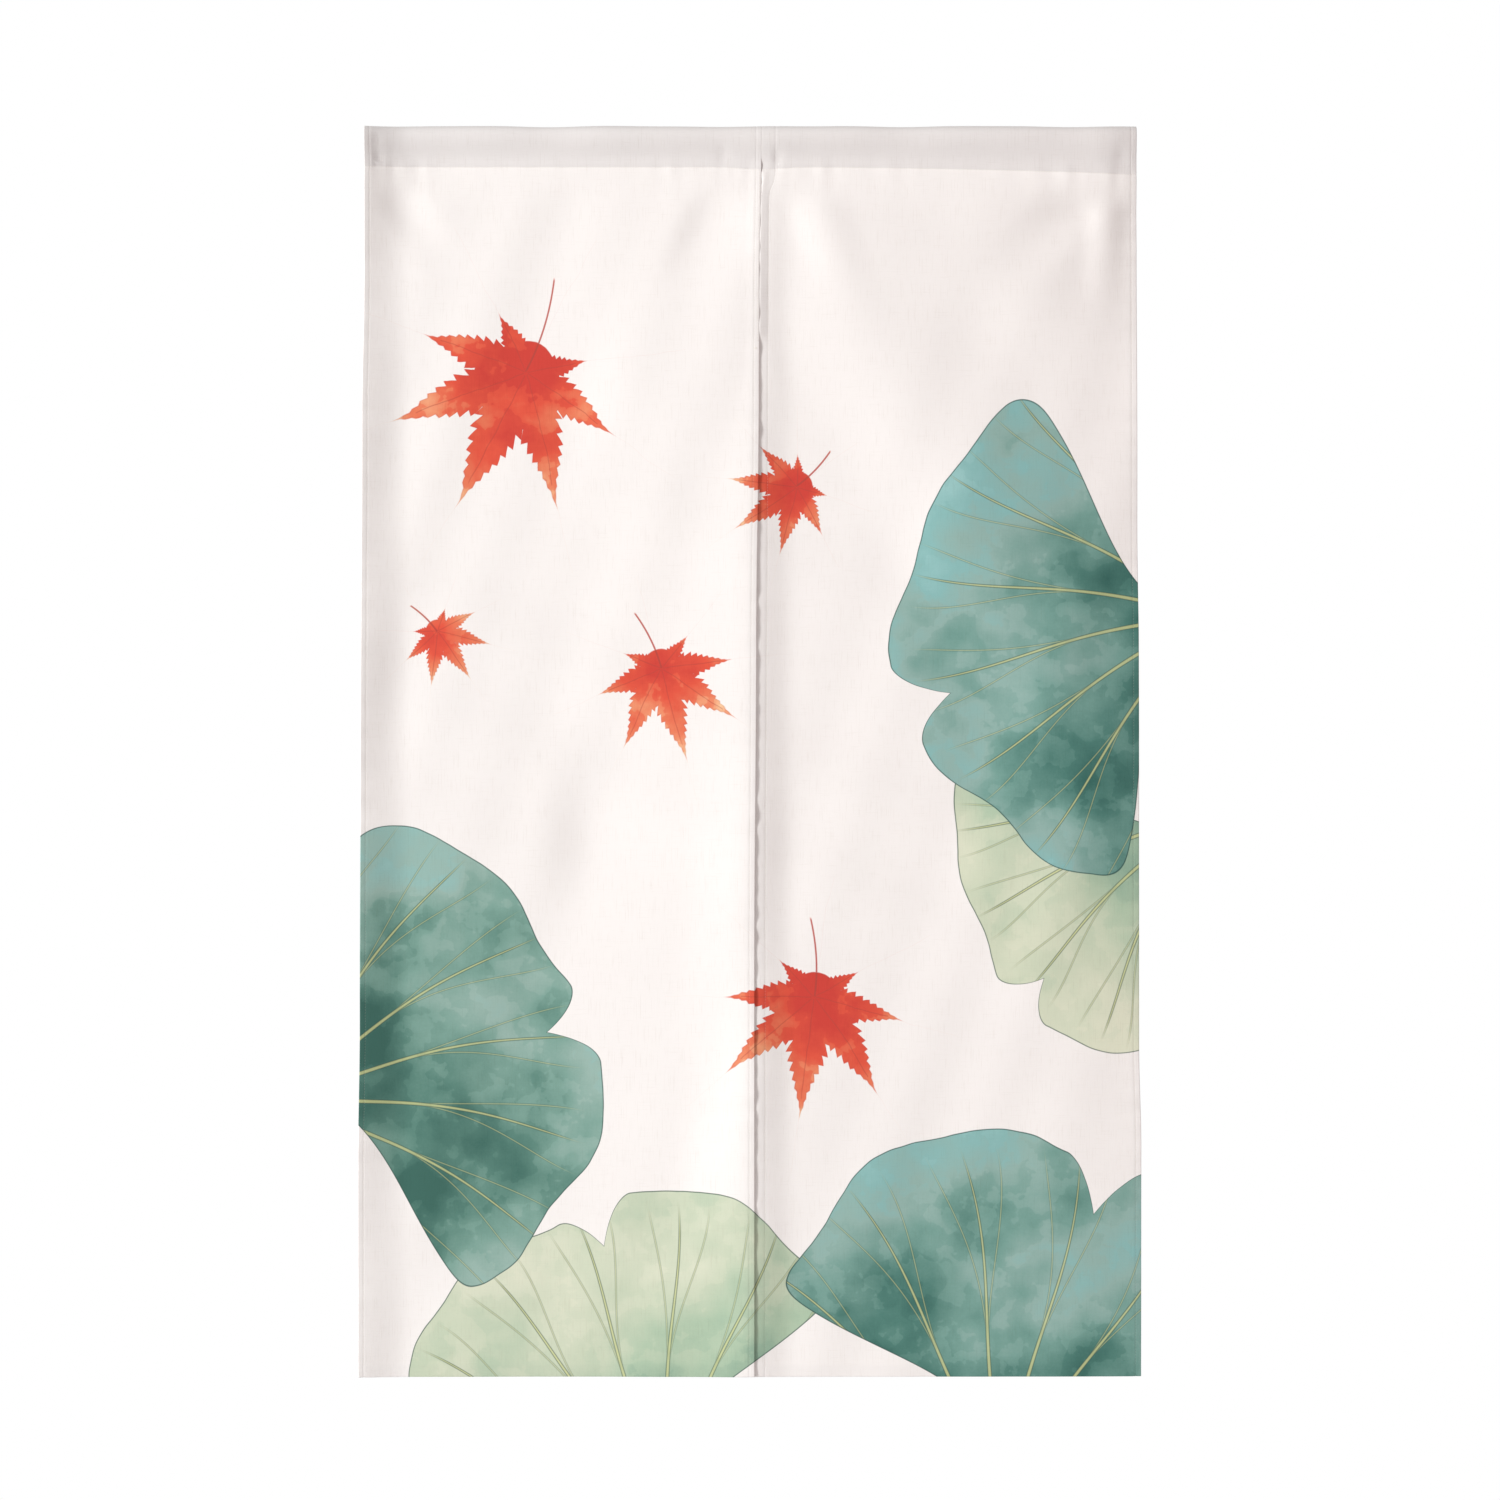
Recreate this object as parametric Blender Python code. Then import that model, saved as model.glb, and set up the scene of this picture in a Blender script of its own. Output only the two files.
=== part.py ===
"""A two-panel door curtain that hangs from an empty rod pocket, modelled as cloth solids at real size.

The curtain hangs in the XZ plane: +X is the viewer's right, -Y is the printed front, +Z is up.
The origin is the middle of the top fold, where the pocket hangs from its rod. All sizes are in metres.
"""

import math
from collections import namedtuple

import bmesh
import bpy

# Driving sizes. The pocket's stitch line sags towards the curtain's right end.
CURTAIN_DROP = 1.200
POCKET_DROP = 0.039
POCKET_SAG = 0.007
JOINED_DROP = 0.212
CLOTH_THICK = 0.0012
HEM_THICK = 0.0022
SEWN_GAP = 0.0003

# Hem widths. The right panel's inner hem, under the left panel's, is the wide one.
SIDE_HEM = 0.0065
UNDER_HEM = 0.0145
FOOT_HEM = 0.010
HEM_STEP = 0.0008

# The panels lap at the split: the right one's inner hem lies behind the left one's
LAP_REACH = 0.040
SPLIT_SPRING = 0.0022
SPRING_RUN = 0.12

# The pocket's section: a tube for the rod that narrows to a slit above a flat sewn lip
TUBE_RADIUS = 0.0085
LIP_THICK = 0.0024
LIP_RISE = 0.0045
SLIT_HALF = 0.0003
SLIT_RISE = 0.0059
SLIT_STEP = 0.0004
POCKET_HEM = 0.013
POCKET_HEM_EXTRA = 0.0007

# How finely the solids are cut
PANEL_COLUMNS = 18
FIRST_ROW = 0.0035
UPPER_ROWS = 15
LOWER_ROWS = 21
UPPER_ZONE = 0.270
TUBE_STEPS = 9
WALL_STEPS = 4
POCKET_SPANS = 8

# Colour of the unprinted ground
CLOTH_COLOUR = (0.90, 0.86, 0.83, 1.0)
CLOTH_ROUGHNESS = 0.9

# Where an edge runs: how far across it lies at each drop below the top fold
EdgePoint = namedtuple("EdgePoint", "drop across")
OUTER_LEFT_EDGE = (
    EdgePoint(0.00, -0.3695),
    EdgePoint(0.14, -0.3696),
    EdgePoint(0.28, -0.3717),
    EdgePoint(0.62, -0.3731),
    EdgePoint(0.86, -0.3735),
    EdgePoint(1.02, -0.3754),
    EdgePoint(1.20, -0.3755),
)
SPLIT_EDGE = (
    EdgePoint(0.00, 0.0111),
    EdgePoint(0.16, 0.0090),
    EdgePoint(0.26, 0.0086),
    EdgePoint(0.50, 0.0061),
    EdgePoint(0.80, 0.0043),
    EdgePoint(1.20, 0.0043),
)
UNDER_EDGE = (
    EdgePoint(0.00, 0.0048),
    EdgePoint(0.26, 0.0036),
    EdgePoint(0.80, 0.0012),
    EdgePoint(1.20, 0.0010),
)
OUTER_RIGHT_EDGE = (
    EdgePoint(0.00, 0.3708),
    EdgePoint(0.12, 0.3716),
    EdgePoint(0.38, 0.3720),
    EdgePoint(0.50, 0.3734),
    EdgePoint(0.88, 0.3736),
    EdgePoint(0.98, 0.3757),
    EdgePoint(1.20, 0.3755),
)

# Broad swells of the hanging cloth. push is how far the cloth stands forward at the middle of one,
# and lean is how far it drifts to the right for each metre down.
Swell = namedtuple("Swell", "across drop reach_left reach_right half_height lean push")
SWELLS = (
    Swell(-0.392, 0.45, 0.068, 0.066, 2.20, 0.00, 0.0105),
    Swell(-0.360, 0.60, 0.100, 0.200, 1.20, 0.00, 0.0042),
    Swell(0.000, 0.75, 0.200, 0.048, 1.30, 0.00, 0.0044),
    Swell(0.004, 0.75, 0.100, 0.036, 1.30, 0.00, 0.0020),
    Swell(0.205, 0.36, 0.110, 0.130, 0.45, 0.50, 0.0052),
    Swell(0.430, 0.62, 0.150, 0.090, 1.80, 0.00, -0.0060),
    Swell(0.400, 0.40, 0.130, 0.090, 0.18, 0.00, -0.0030),
    Swell(0.390, 0.06, 0.170, 0.170, 0.26, 0.00, -0.0084),
    Swell(0.020, 1.00, 0.100, 0.200, 0.50, 0.00, 0.0034),
    Swell(-0.105, 0.26, 0.080, 0.140, 0.16, 0.00, 0.0028),
    Swell(-0.150, 0.68, 0.055, 0.160, 0.12, 0.00, -0.0034),
    Swell(-0.385, 0.95, 0.080, 0.190, 0.34, 0.00, 0.0046),
    Swell(0.300, 0.66, 0.110, 0.110, 0.26, 0.00, 0.0030),
    Swell(-0.392, 0.06, 0.030, 0.110, 0.090, 0.00, 0.0035),
    Swell(-0.042, 0.095, 0.034, 0.120, 0.075, -0.43, -0.0024),
)

# Soft creases pulled from the ends of the headings, straight from one point to another
Crease = namedtuple("Crease", "across drop to_across to_drop half_width push")
CREASES = (
    Crease(-0.352, 0.045, -0.280, 0.150, 0.028, -0.0018),
    Crease(0.330, 0.048, 0.232, 0.160, 0.038, -0.0032),
    Crease(0.346, 0.050, 0.334, 0.200, 0.024, 0.0026),
    Crease(0.050, 0.040, 0.118, 0.215, 0.036, 0.0022),
)
CREASE_FADE = 0.25
RELEASE_DROP = 0.045


def bell(distance, reach):
    """A smooth bump: 1 at no distance, 0 at the reach and past it."""
    share = min(1.0, abs(distance) / reach)
    return 0.5 + 0.5 * math.cos(math.pi * share)


def ease(share):
    """A smooth rise from 0 to 1."""
    share = min(1.0, max(0.0, share))
    return share * share * (3 - 2 * share)


def edge_at(edge, drop):
    """How far across an edge lies at this drop, eased between its points."""
    for above, below in zip(edge, edge[1:]):
        if drop <= below.drop:
            share = (drop - above.drop) / (below.drop - above.drop)
            return above.across + (below.across - above.across) * ease(share)
    return edge[-1].across


def crease_depth(crease, across, drop):
    """How far one crease moves the cloth forward at a point."""
    run_across = crease.to_across - crease.across
    run_down = crease.to_drop - crease.drop
    length = math.hypot(run_across, run_down)
    along = ((across - crease.across) * run_across + (drop - crease.drop) * run_down) / length
    beside = ((across - crease.across) * run_down - (drop - crease.drop) * run_across) / length
    if not 0 < along < length:
        return 0.0
    fade = ease(along / (CREASE_FADE * length)) * ease((length - along) / (length - CREASE_FADE * length))
    return crease.push * fade * bell(beside, crease.half_width)


def pocket_sag(across):
    """How far the pocket's stitch line sags at this place, with the square of the way to the right end."""
    seam, end = SPLIT_EDGE[0].across, OUTER_RIGHT_EDGE[0].across
    share = max(0.0, (across - seam) / (end - seam))
    return POCKET_SAG * share * share


def hang(across, drop):
    """How far the cloth stands forward of the pocket's middle plane, from its swells and creases."""
    forward = sum(crease_depth(crease, across, drop) for crease in CREASES)
    for swell in SWELLS:
        beside = across - swell.across - swell.lean * (drop - swell.drop)
        reach = swell.reach_left if beside < 0 else swell.reach_right
        forward += swell.push * bell(beside, reach) * bell(drop - swell.drop, swell.half_height)
    return forward * ease((drop - POCKET_DROP - pocket_sag(across)) / RELEASE_DROP)


def lap_shift(across, drop, sign):
    """How far a panel steps forward (sign 1) or back (sign -1) near the split, so that its hems can lap."""
    near = bell(across - edge_at(SPLIT_EDGE, drop), LAP_REACH)
    sewn = 0.5 * (HEM_THICK + SEWN_GAP)
    sprung = 0.5 * SPLIT_SPRING * ease((drop - JOINED_DROP) / SPRING_RUN)
    return sign * near * (sewn + sprung)


def spaced(first, last, spans):
    """Evenly spaced places from first to last."""
    return [first + (last - first) * i / spans for i in range(spans + 1)]


def panel_rows():
    """The drops at which a panel is cut: closest below the pocket, finer in the creased zone, stepped at the foot."""
    top = POCKET_DROP + SEWN_GAP
    foot_hem = CURTAIN_DROP - FOOT_HEM
    upper = [top] + spaced(top + FIRST_ROW, UPPER_ZONE, UPPER_ROWS)
    lower = spaced(UPPER_ZONE, foot_hem - HEM_STEP, LOWER_ROWS)[1:]
    return upper + lower + [foot_hem, CURTAIN_DROP]


def cloth_material():
    """The linen-look ground cloth."""
    material = bpy.data.materials.new("cloth")
    material.use_nodes = True
    shader = material.node_tree.nodes["Principled BSDF"]
    shader.inputs["Base Color"].default_value = CLOTH_COLOUR
    shader.inputs["Roughness"].default_value = CLOTH_ROUGHNESS
    shader.inputs["Metallic"].default_value = 0.0
    return material


def add_object(name, builder, material):
    """Makes one named object from a bmesh."""
    mesh = bpy.data.meshes.new(name)
    builder.to_mesh(mesh)
    builder.free()
    mesh.materials.append(material)
    thing = bpy.data.objects.new(name, mesh)
    bpy.context.scene.collection.objects.link(thing)
    return thing


def add_panel(name, left_edge, right_edge, left_hem, right_hem, sign, material):
    """One panel: a printed face laid out in rows and columns, then thickened backwards, more at the hems."""
    builder = bmesh.new()
    hem_corners = []
    grid = []
    rows = panel_rows()
    for row_drop in rows:
        sag_left = max(0.0, (UPPER_ZONE - row_drop) / (UPPER_ZONE - rows[0]))
        left, right = left_edge(row_drop), right_edge(row_drop)
        inner = spaced(left + left_hem + HEM_STEP, right - right_hem - HEM_STEP, PANEL_COLUMNS)
        columns = [left, left + left_hem] + inner + [right - right_hem, right]
        row = []
        hem_columns = columns[:2] + columns[-2:]
        for across in columns:
            drop = row_drop + pocket_sag(across) * sag_left
            forward = CLOTH_THICK / 2 + hang(across, drop) + lap_shift(across, drop, sign)
            row.append(builder.verts.new((across, -forward, -drop)))
            if across in hem_columns or row_drop in rows[-2:]:
                hem_corners.append(row[-1])
        grid.append(row)
    for upper, lower in zip(grid, grid[1:]):
        for k in range(len(upper) - 1):
            builder.faces.new((upper[k], lower[k], lower[k + 1], upper[k + 1]))
    builder.verts.index_update()
    hem_indices = [corner.index for corner in hem_corners]
    panel = add_object(name, builder, material)
    hems = panel.vertex_groups.new(name="hems")
    hems.add(hem_indices, 1.0, "REPLACE")
    thicken = panel.modifiers.new("thickness", "SOLIDIFY")
    thicken.thickness = HEM_THICK
    thicken.offset = -1.0
    thicken.vertex_group = "hems"
    thicken.thickness_vertex_group = CLOTH_THICK / HEM_THICK
    return panel


def pocket_section(wall, foot):
    """The pocket's outer and inner outline as (y, z), from the back lip over the top to the front lip."""
    lip = LIP_THICK / 2
    bore = TUBE_RADIUS - wall
    lip_top = foot - LIP_RISE
    slit_top = foot - SLIT_RISE - SLIT_STEP
    outer = [(lip, -foot), (lip, -lip_top)]
    inner = [(SLIT_HALF, SLIT_RISE - foot), (SLIT_HALF, -slit_top)]
    for step in range(1, WALL_STEPS + 1):
        share = step / WALL_STEPS
        fullness = 0.5 - 0.5 * math.cos(math.pi * share)
        outer_drop = lip_top + (TUBE_RADIUS - lip_top) * share
        inner_drop = slit_top + (TUBE_RADIUS - slit_top) * share
        outer.append((lip + (TUBE_RADIUS - lip) * fullness, -outer_drop))
        inner.append((SLIT_HALF + (bore - SLIT_HALF) * fullness, -inner_drop))
    for step in range(1, TUBE_STEPS):
        angle = math.pi * step / TUBE_STEPS
        side, rise = math.cos(angle), math.sin(angle)
        outer.append((TUBE_RADIUS * side, -TUBE_RADIUS + TUBE_RADIUS * rise))
        inner.append((bore * side, -TUBE_RADIUS + bore * rise))
    half = WALL_STEPS + 2
    outer += [(-y, z) for y, z in reversed(outer[:half])]
    inner += [(-y, z) for y, z in reversed(inner[:half])]
    return outer, inner


def add_pocket(name, left, right, material):
    """One rod pocket: its section run from one mouth to the other, with a thicker hem at each mouth."""
    hem_wall = CLOTH_THICK + POCKET_HEM_EXTRA
    inner_left = left + POCKET_HEM + HEM_STEP
    inner_right = right - POCKET_HEM - HEM_STEP
    stations = [(left, hem_wall), (left + POCKET_HEM, hem_wall)]
    stations += [(x, CLOTH_THICK) for x in spaced(inner_left, inner_right, POCKET_SPANS)]
    stations += [(right - POCKET_HEM, hem_wall), (right, hem_wall)]
    builder = bmesh.new()
    outers, inners = [], []
    for across, wall in stations:
        outer, inner = pocket_section(wall, POCKET_DROP + pocket_sag(across))
        outers.append([builder.verts.new((across, y, z)) for y, z in outer])
        inners.append([builder.verts.new((across, y, z)) for y, z in inner])
    count = len(outers[0])
    for k in range(count):
        n = (k + 1) % count
        for a, b in zip(outers, outers[1:]):
            builder.faces.new((a[k], a[n], b[n], b[k]))
        for a, b in zip(inners, inners[1:]):
            builder.faces.new((a[k], b[k], b[n], a[n]))
        builder.faces.new((outers[0][k], inners[0][k], inners[0][n], outers[0][n]))
        builder.faces.new((outers[-1][k], outers[-1][n], inners[-1][n], inners[-1][k]))
    bmesh.ops.recalc_face_normals(builder, faces=builder.faces)
    return add_object(name, builder, material)


def outer_left(drop):
    """The left panel's outer edge."""
    return edge_at(OUTER_LEFT_EDGE, drop)


def split(drop):
    """The left panel's inner edge, which is the line of the seam and the split."""
    return edge_at(SPLIT_EDGE, drop)


def under_split(drop):
    """The right panel's inner edge, which lies behind the left panel."""
    return edge_at(UNDER_EDGE, drop)


def outer_right(drop):
    """The right panel's outer edge."""
    return edge_at(OUTER_RIGHT_EDGE, drop)


def main():
    """Clears the scene and hangs the curtain."""
    for thing in list(bpy.data.objects):
        bpy.data.objects.remove(thing)
    cloth = cloth_material()
    hung = [
        add_panel("left_panel", outer_left, split, SIDE_HEM, SIDE_HEM, 1, cloth),
        add_panel("right_panel", under_split, outer_right, UNDER_HEM, SIDE_HEM, -1, cloth),
        add_pocket("left_rod_pocket", outer_left(0), split(0) - SEWN_GAP / 2, cloth),
        add_pocket("right_rod_pocket", split(0) + SEWN_GAP / 2, outer_right(0), cloth),
    ]
    rod_line = bpy.data.objects.new("rod_line", None)
    bpy.context.scene.collection.objects.link(rod_line)
    for piece in hung:
        piece.parent = rod_line


main()
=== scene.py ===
"""The looks of a split door curtain: turned and sewn cloth, a leaf print, its thread and a plain studio.

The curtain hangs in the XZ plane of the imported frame, in metres: +X is the viewer's right, -Y the printed
front and +Z up, with the origin in the middle of the top fold.
"""

from __future__ import annotations

import logging
import math
from dataclasses import dataclass, field
from enum import Enum
from typing import Callable, Sequence, Union

import bpy
import numpy as np
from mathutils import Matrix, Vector

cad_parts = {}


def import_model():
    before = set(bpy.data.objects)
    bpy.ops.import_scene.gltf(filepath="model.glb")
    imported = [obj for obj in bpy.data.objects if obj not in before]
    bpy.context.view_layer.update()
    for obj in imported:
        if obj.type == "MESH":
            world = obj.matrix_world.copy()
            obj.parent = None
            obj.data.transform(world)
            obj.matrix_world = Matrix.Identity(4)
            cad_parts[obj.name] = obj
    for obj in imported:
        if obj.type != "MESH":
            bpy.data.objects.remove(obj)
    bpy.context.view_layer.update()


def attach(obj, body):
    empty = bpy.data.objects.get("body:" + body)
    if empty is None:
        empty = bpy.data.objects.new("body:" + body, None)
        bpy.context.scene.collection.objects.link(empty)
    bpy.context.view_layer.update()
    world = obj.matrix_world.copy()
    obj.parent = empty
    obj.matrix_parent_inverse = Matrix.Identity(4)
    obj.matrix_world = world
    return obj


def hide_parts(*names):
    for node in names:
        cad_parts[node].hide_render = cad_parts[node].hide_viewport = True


LOG = logging.getLogger("door_curtain")
BODY = "root"
MM = 0.001

Array = np.ndarray
Material = bpy.types.Material
Node = bpy.types.Node
Piece = bpy.types.Object
Socket = bpy.types.NodeSocket
Number = Union["Wire", float]
Colour = tuple[float, float, float, float]


def shade(red: int, green: int, blue: int) -> Colour:
    """Turns a colour as a screen shows it, 0 to 255, into the renderer's linear one.

    Args:
        red, green, blue: the colour's parts.

    Returns:
        The linear colour with full opacity.
    """
    parts = [value / 255 for value in (red, green, blue)]
    linear = [p / 12.92 if p <= 0.04045 else ((p + 0.055) / 1.055) ** 2.4 for p in parts]
    return (linear[0], linear[1], linear[2], 1.0)


def bell(distance: Array, reach: float) -> Array:
    """A smooth bump: 1 at no distance, 0 at the reach and past it."""
    return 0.5 + 0.5 * np.cos(np.pi * np.minimum(1.0, np.abs(distance) / reach))


def ease(share: Array) -> Array:
    """A smooth rise from 0 to 1."""
    held = np.clip(share, 0.0, 1.0)
    return held * held * (3 - 2 * held)


def put_in_scene(name: str, data: bpy.types.ID) -> Piece:
    """Makes an object of a mesh, a lamp or a camera and links it to the scene."""
    thing = bpy.data.objects.new(name, data)
    bpy.context.scene.collection.objects.link(thing)
    return thing


def write_places(mesh: bpy.types.Mesh, places: Array) -> None:
    """Writes where each point of a mesh lies on the print, and 1 or 0 for the printed side or the reverse."""
    spot = mesh.attributes.new("print_place", "FLOAT_VECTOR", "POINT")
    spot.data.foreach_set("vector", places.astype(np.float32).ravel())


def write_map(mesh: bpy.types.Mesh, corners: Array) -> None:
    """Writes the UV map, which has one place for each corner of each face."""
    mesh.uv_layers.new(name="OFBake").uv.foreach_set("vector", corners.astype(np.float32).ravel())


class Side(Enum):
    """Which of the two drops a piece belongs to."""

    LEFT = "left"
    RIGHT = "right"

    @property
    def sign(self) -> int:
        """1 where the drop steps forward at the split, and -1 where it steps back."""
        return 1 if self is Side.LEFT else -1


# How the curtain hangs


@dataclass(frozen=True)
class Knot:
    """How far across an edge lies at one drop below the top fold."""

    drop: float
    across: float


@dataclass(frozen=True)
class Swell:
    """A broad bulge (push above 0) or hollow of the cloth; lean is its drift to the right per metre down."""

    across: float
    drop: float
    reach_left: float
    reach_right: float
    half_height: float
    lean: float
    push: float


@dataclass(frozen=True)
class Crease:
    """A soft ridge or trough that runs straight from one point to another."""

    across: float
    drop: float
    to_across: float
    to_drop: float
    half_width: float
    push: float


@dataclass(frozen=True)
class Dimple:
    """A small place where the sewing draws the heading's front in."""

    across: float
    drop: float
    half_width: float
    half_height: float
    depth: float


@dataclass(frozen=True)
class Ripple:
    """Small uneven waves beside a line of sewing, the same each run."""

    seed: int
    shortest: float
    longest: float
    height: float
    waves: int = 7

    def along(self, place: Array) -> Array:
        """The height of the waves at each place along the line."""
        draw = np.random.default_rng(self.seed)
        lengths = np.exp(draw.uniform(math.log(self.shortest), math.log(self.longest), self.waves))
        starts = draw.uniform(0, math.tau, self.waves)
        total = sum(np.sin(math.tau * place / size + start) for size, start in zip(lengths, starts))
        return self.height * total / math.sqrt(self.waves / 2)


@dataclass(frozen=True)
class HungShape:
    """The outline of the hanging curtain and the relief of its cloth."""

    drop: float = 1.200
    joined_drop: float = 0.212
    pocket_drop: float = 0.0392
    pocket_sag: float = 0.007
    seam_dip: float = 0.0020
    seam_dip_reach: float = 0.045
    release_drop: float = 0.045
    seam_gap: float = 0.00004
    seam_reach: float = 0.014
    lap_reach: float = 0.040
    lap_top: float = 0.0440
    lap_full: float = 0.0700
    sewn_step: float = 0.00068
    sprung_step: float = 0.00020
    spring_run: float = 0.12
    step_top: float = 0.030
    step_full: float = 0.038
    sag_end: float = 0.270
    outer_left: tuple[Knot, ...] = (
        Knot(0.00, -0.3695),
        Knot(0.14, -0.3696),
        Knot(0.28, -0.3717),
        Knot(0.62, -0.3731),
        Knot(0.86, -0.3735),
        Knot(1.02, -0.3754),
        Knot(1.20, -0.3755),
    )
    split: tuple[Knot, ...] = (
        Knot(0.00, 0.0111),
        Knot(0.16, 0.0090),
        Knot(0.26, 0.0086),
        Knot(0.50, 0.0061),
        Knot(0.80, 0.0043),
        Knot(1.20, 0.0043),
    )
    under: tuple[Knot, ...] = (
        Knot(0.00, 0.0048),
        Knot(0.26, 0.0036),
        Knot(0.80, 0.0012),
        Knot(1.20, 0.0010),
    )
    outer_right: tuple[Knot, ...] = (
        Knot(0.00, 0.3708),
        Knot(0.12, 0.3716),
        Knot(0.38, 0.3720),
        Knot(0.50, 0.3734),
        Knot(0.88, 0.3736),
        Knot(0.98, 0.3757),
        Knot(1.20, 0.3755),
    )
    swells: tuple[Swell, ...] = (
        Swell(-0.360, 0.60, 0.100, 0.200, 1.20, 0.00, 0.0042),
        Swell(0.000, 0.75, 0.200, 0.048, 1.30, 0.00, 0.0044),
        Swell(0.004, 0.75, 0.070, 0.036, 1.30, 0.00, 0.0024),
        Swell(0.205, 0.36, 0.110, 0.130, 0.45, 0.50, 0.0052),
        Swell(0.430, 0.62, 0.150, 0.090, 1.80, 0.00, -0.0060),
        Swell(0.400, 0.40, 0.130, 0.090, 0.18, 0.00, -0.0030),
        Swell(0.390, 0.06, 0.170, 0.170, 0.26, 0.00, -0.0098),
        Swell(0.020, 1.00, 0.100, 0.200, 0.50, 0.00, 0.0034),
        Swell(-0.105, 0.26, 0.080, 0.140, 0.16, 0.00, 0.0028),
        Swell(-0.150, 0.68, 0.055, 0.160, 0.12, 0.00, -0.0034),
        Swell(-0.385, 0.95, 0.080, 0.190, 0.34, 0.00, 0.0046),
        Swell(0.300, 0.66, 0.110, 0.110, 0.26, 0.00, 0.0030),
        Swell(-0.042, 0.095, 0.034, 0.120, 0.075, -0.43, -0.0024),
    )
    creases: tuple[Crease, ...] = (
        Crease(-0.352, 0.045, -0.280, 0.150, 0.028, -0.0018),
        Crease(0.330, 0.048, 0.232, 0.160, 0.038, -0.0032),
        Crease(0.346, 0.050, 0.334, 0.200, 0.024, 0.0026),
        Crease(0.050, 0.040, 0.118, 0.215, 0.036, 0.0022),
    )
    crease_fade: float = 0.25
    heading_ends: tuple[Swell, ...] = (
        Swell(-0.392, 0.450, 0.068, 0.066, 2.200, 0.00, 0.0105),
        Swell(-0.392, 0.040, 0.020, 0.110, 0.110, 0.00, 0.0045),
        Swell(0.400, 0.020, 0.070, 0.020, 0.095, 0.00, -0.0065),
    )
    ridge_height: float = 0.00125
    ridge_rise: float = 0.0004
    ridge_top: float = 0.036
    ridge_full: float = 0.048
    ridge_reach: float = 0.0100
    ridge_end: float = 0.0200
    dimples: tuple[Dimple, ...] = (
        Dimple(-0.3560, 0.0325, 0.0065, 0.0110, 0.0009),
        Dimple(-0.3575, 0.0180, 0.0075, 0.0240, 0.0006),
        Dimple(0.0265, 0.0300, 0.0080, 0.0150, 0.0008),
        Dimple(-0.0260, 0.0270, 0.0090, 0.0190, 0.0006),
        Dimple(0.3560, 0.0300, 0.0095, 0.0190, 0.0007),
    )
    heading_ripple: Ripple = Ripple(seed=4, shortest=0.012, longest=0.036, height=0.00020)
    heading_ripple_fall: float = 0.016
    heading_ripple_rise: float = 0.007
    slack: Ripple = Ripple(seed=9, shortest=0.060, longest=0.190, height=0.00035)
    drift: Ripple = Ripple(seed=15, shortest=0.070, longest=0.240, height=0.00045)
    drift_turn: float = 0.35
    drift_share: float = 0.7
    drift_stretch: float = 0.8

    def edge(self, knots: tuple[Knot, ...], drop: Array) -> Array:
        """How far across an edge lies at each drop, eased between its knots."""
        across = np.full(np.shape(drop), knots[0].across)
        for above, below in zip(knots, knots[1:]):
            share = ease((drop - above.drop) / (below.drop - above.drop))
            across = across + (below.across - above.across) * share
        return across

    def left_edge(self, side: Side, drop: Array) -> Array:
        """The left-hand edge of one drop."""
        if side is Side.LEFT:
            return self.edge(self.outer_left, drop)
        behind = ease((drop - self.lap_top) / (self.lap_full - self.lap_top))
        beside = self.edge(self.split, drop) + self.seam_gap
        return beside + (self.edge(self.under, drop) - beside) * behind

    def right_edge(self, side: Side, drop: Array) -> Array:
        """The right-hand edge of one drop."""
        return self.edge(self.split if side is Side.LEFT else self.outer_right, drop)

    def sewn_drop(self, across: Array) -> Array:
        """How far down the heading's stitch line lies: it sags to the right and dips at the seam."""
        seam, end = self.split[0].across, self.outer_right[0].across
        share = np.maximum(0.0, (across - seam) / (end - seam))
        dip = self.seam_dip * bell(across - seam, self.seam_dip_reach)
        return self.pocket_drop + self.pocket_sag * share * share + dip

    def crease_depth(self, crease: Crease, across: Array, drop: Array) -> Array:
        """How far one crease moves the cloth forward at each point."""
        run_across = crease.to_across - crease.across
        run_down = crease.to_drop - crease.drop
        length = math.hypot(run_across, run_down)
        along = ((across - crease.across) * run_across + (drop - crease.drop) * run_down) / length
        beside = ((across - crease.across) * run_down - (drop - crease.drop) * run_across) / length
        rise = ease(along / (self.crease_fade * length))
        fall = ease((length - along) / (length - self.crease_fade * length))
        return crease.push * rise * fall * bell(beside, crease.half_width)

    def forward(self, side: Side, across: Array, drop: Array) -> Array:
        """How far the cloth stands forward of the heading's middle plane.

        Args:
            side: the drop.
            across, drop: places on the hanging curtain, in metres.

        Returns:
            The forward distance at each place, without the turned layers.
        """
        broad = self.drift.along(across + self.drift_turn * drop) * self.drift_share
        turned = self.drift.along(drop * self.drift_stretch - self.drift_turn * across)
        broad = broad + turned * self.drift_share
        for crease in self.creases:
            broad = broad + self.crease_depth(crease, across, drop)
        broad = broad + self.swollen(self.swells, across, drop)
        below = drop - self.sewn_drop(across)
        broad = broad * ease(below / self.release_drop)
        free = ease((drop - self.joined_drop) / self.spring_run)
        reach = self.seam_reach + (self.lap_reach - self.seam_reach) * free
        near = bell(across - self.edge(self.split, drop), reach)
        near = near * ease((drop - self.step_top) / (self.step_full - self.step_top))
        sprung = self.sprung_step * free
        fade = np.where(
            below > 0,
            np.exp(-np.abs(below) / self.heading_ripple_fall),
            np.exp(-np.abs(below) / self.heading_ripple_rise),
        )
        broad = broad + side.sign * near * (self.sewn_step + sprung)
        broad = broad + self.heading_ripple.along(across) * fade
        return broad + self.seam_ridge(across, drop) if side is Side.RIGHT else broad

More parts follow.
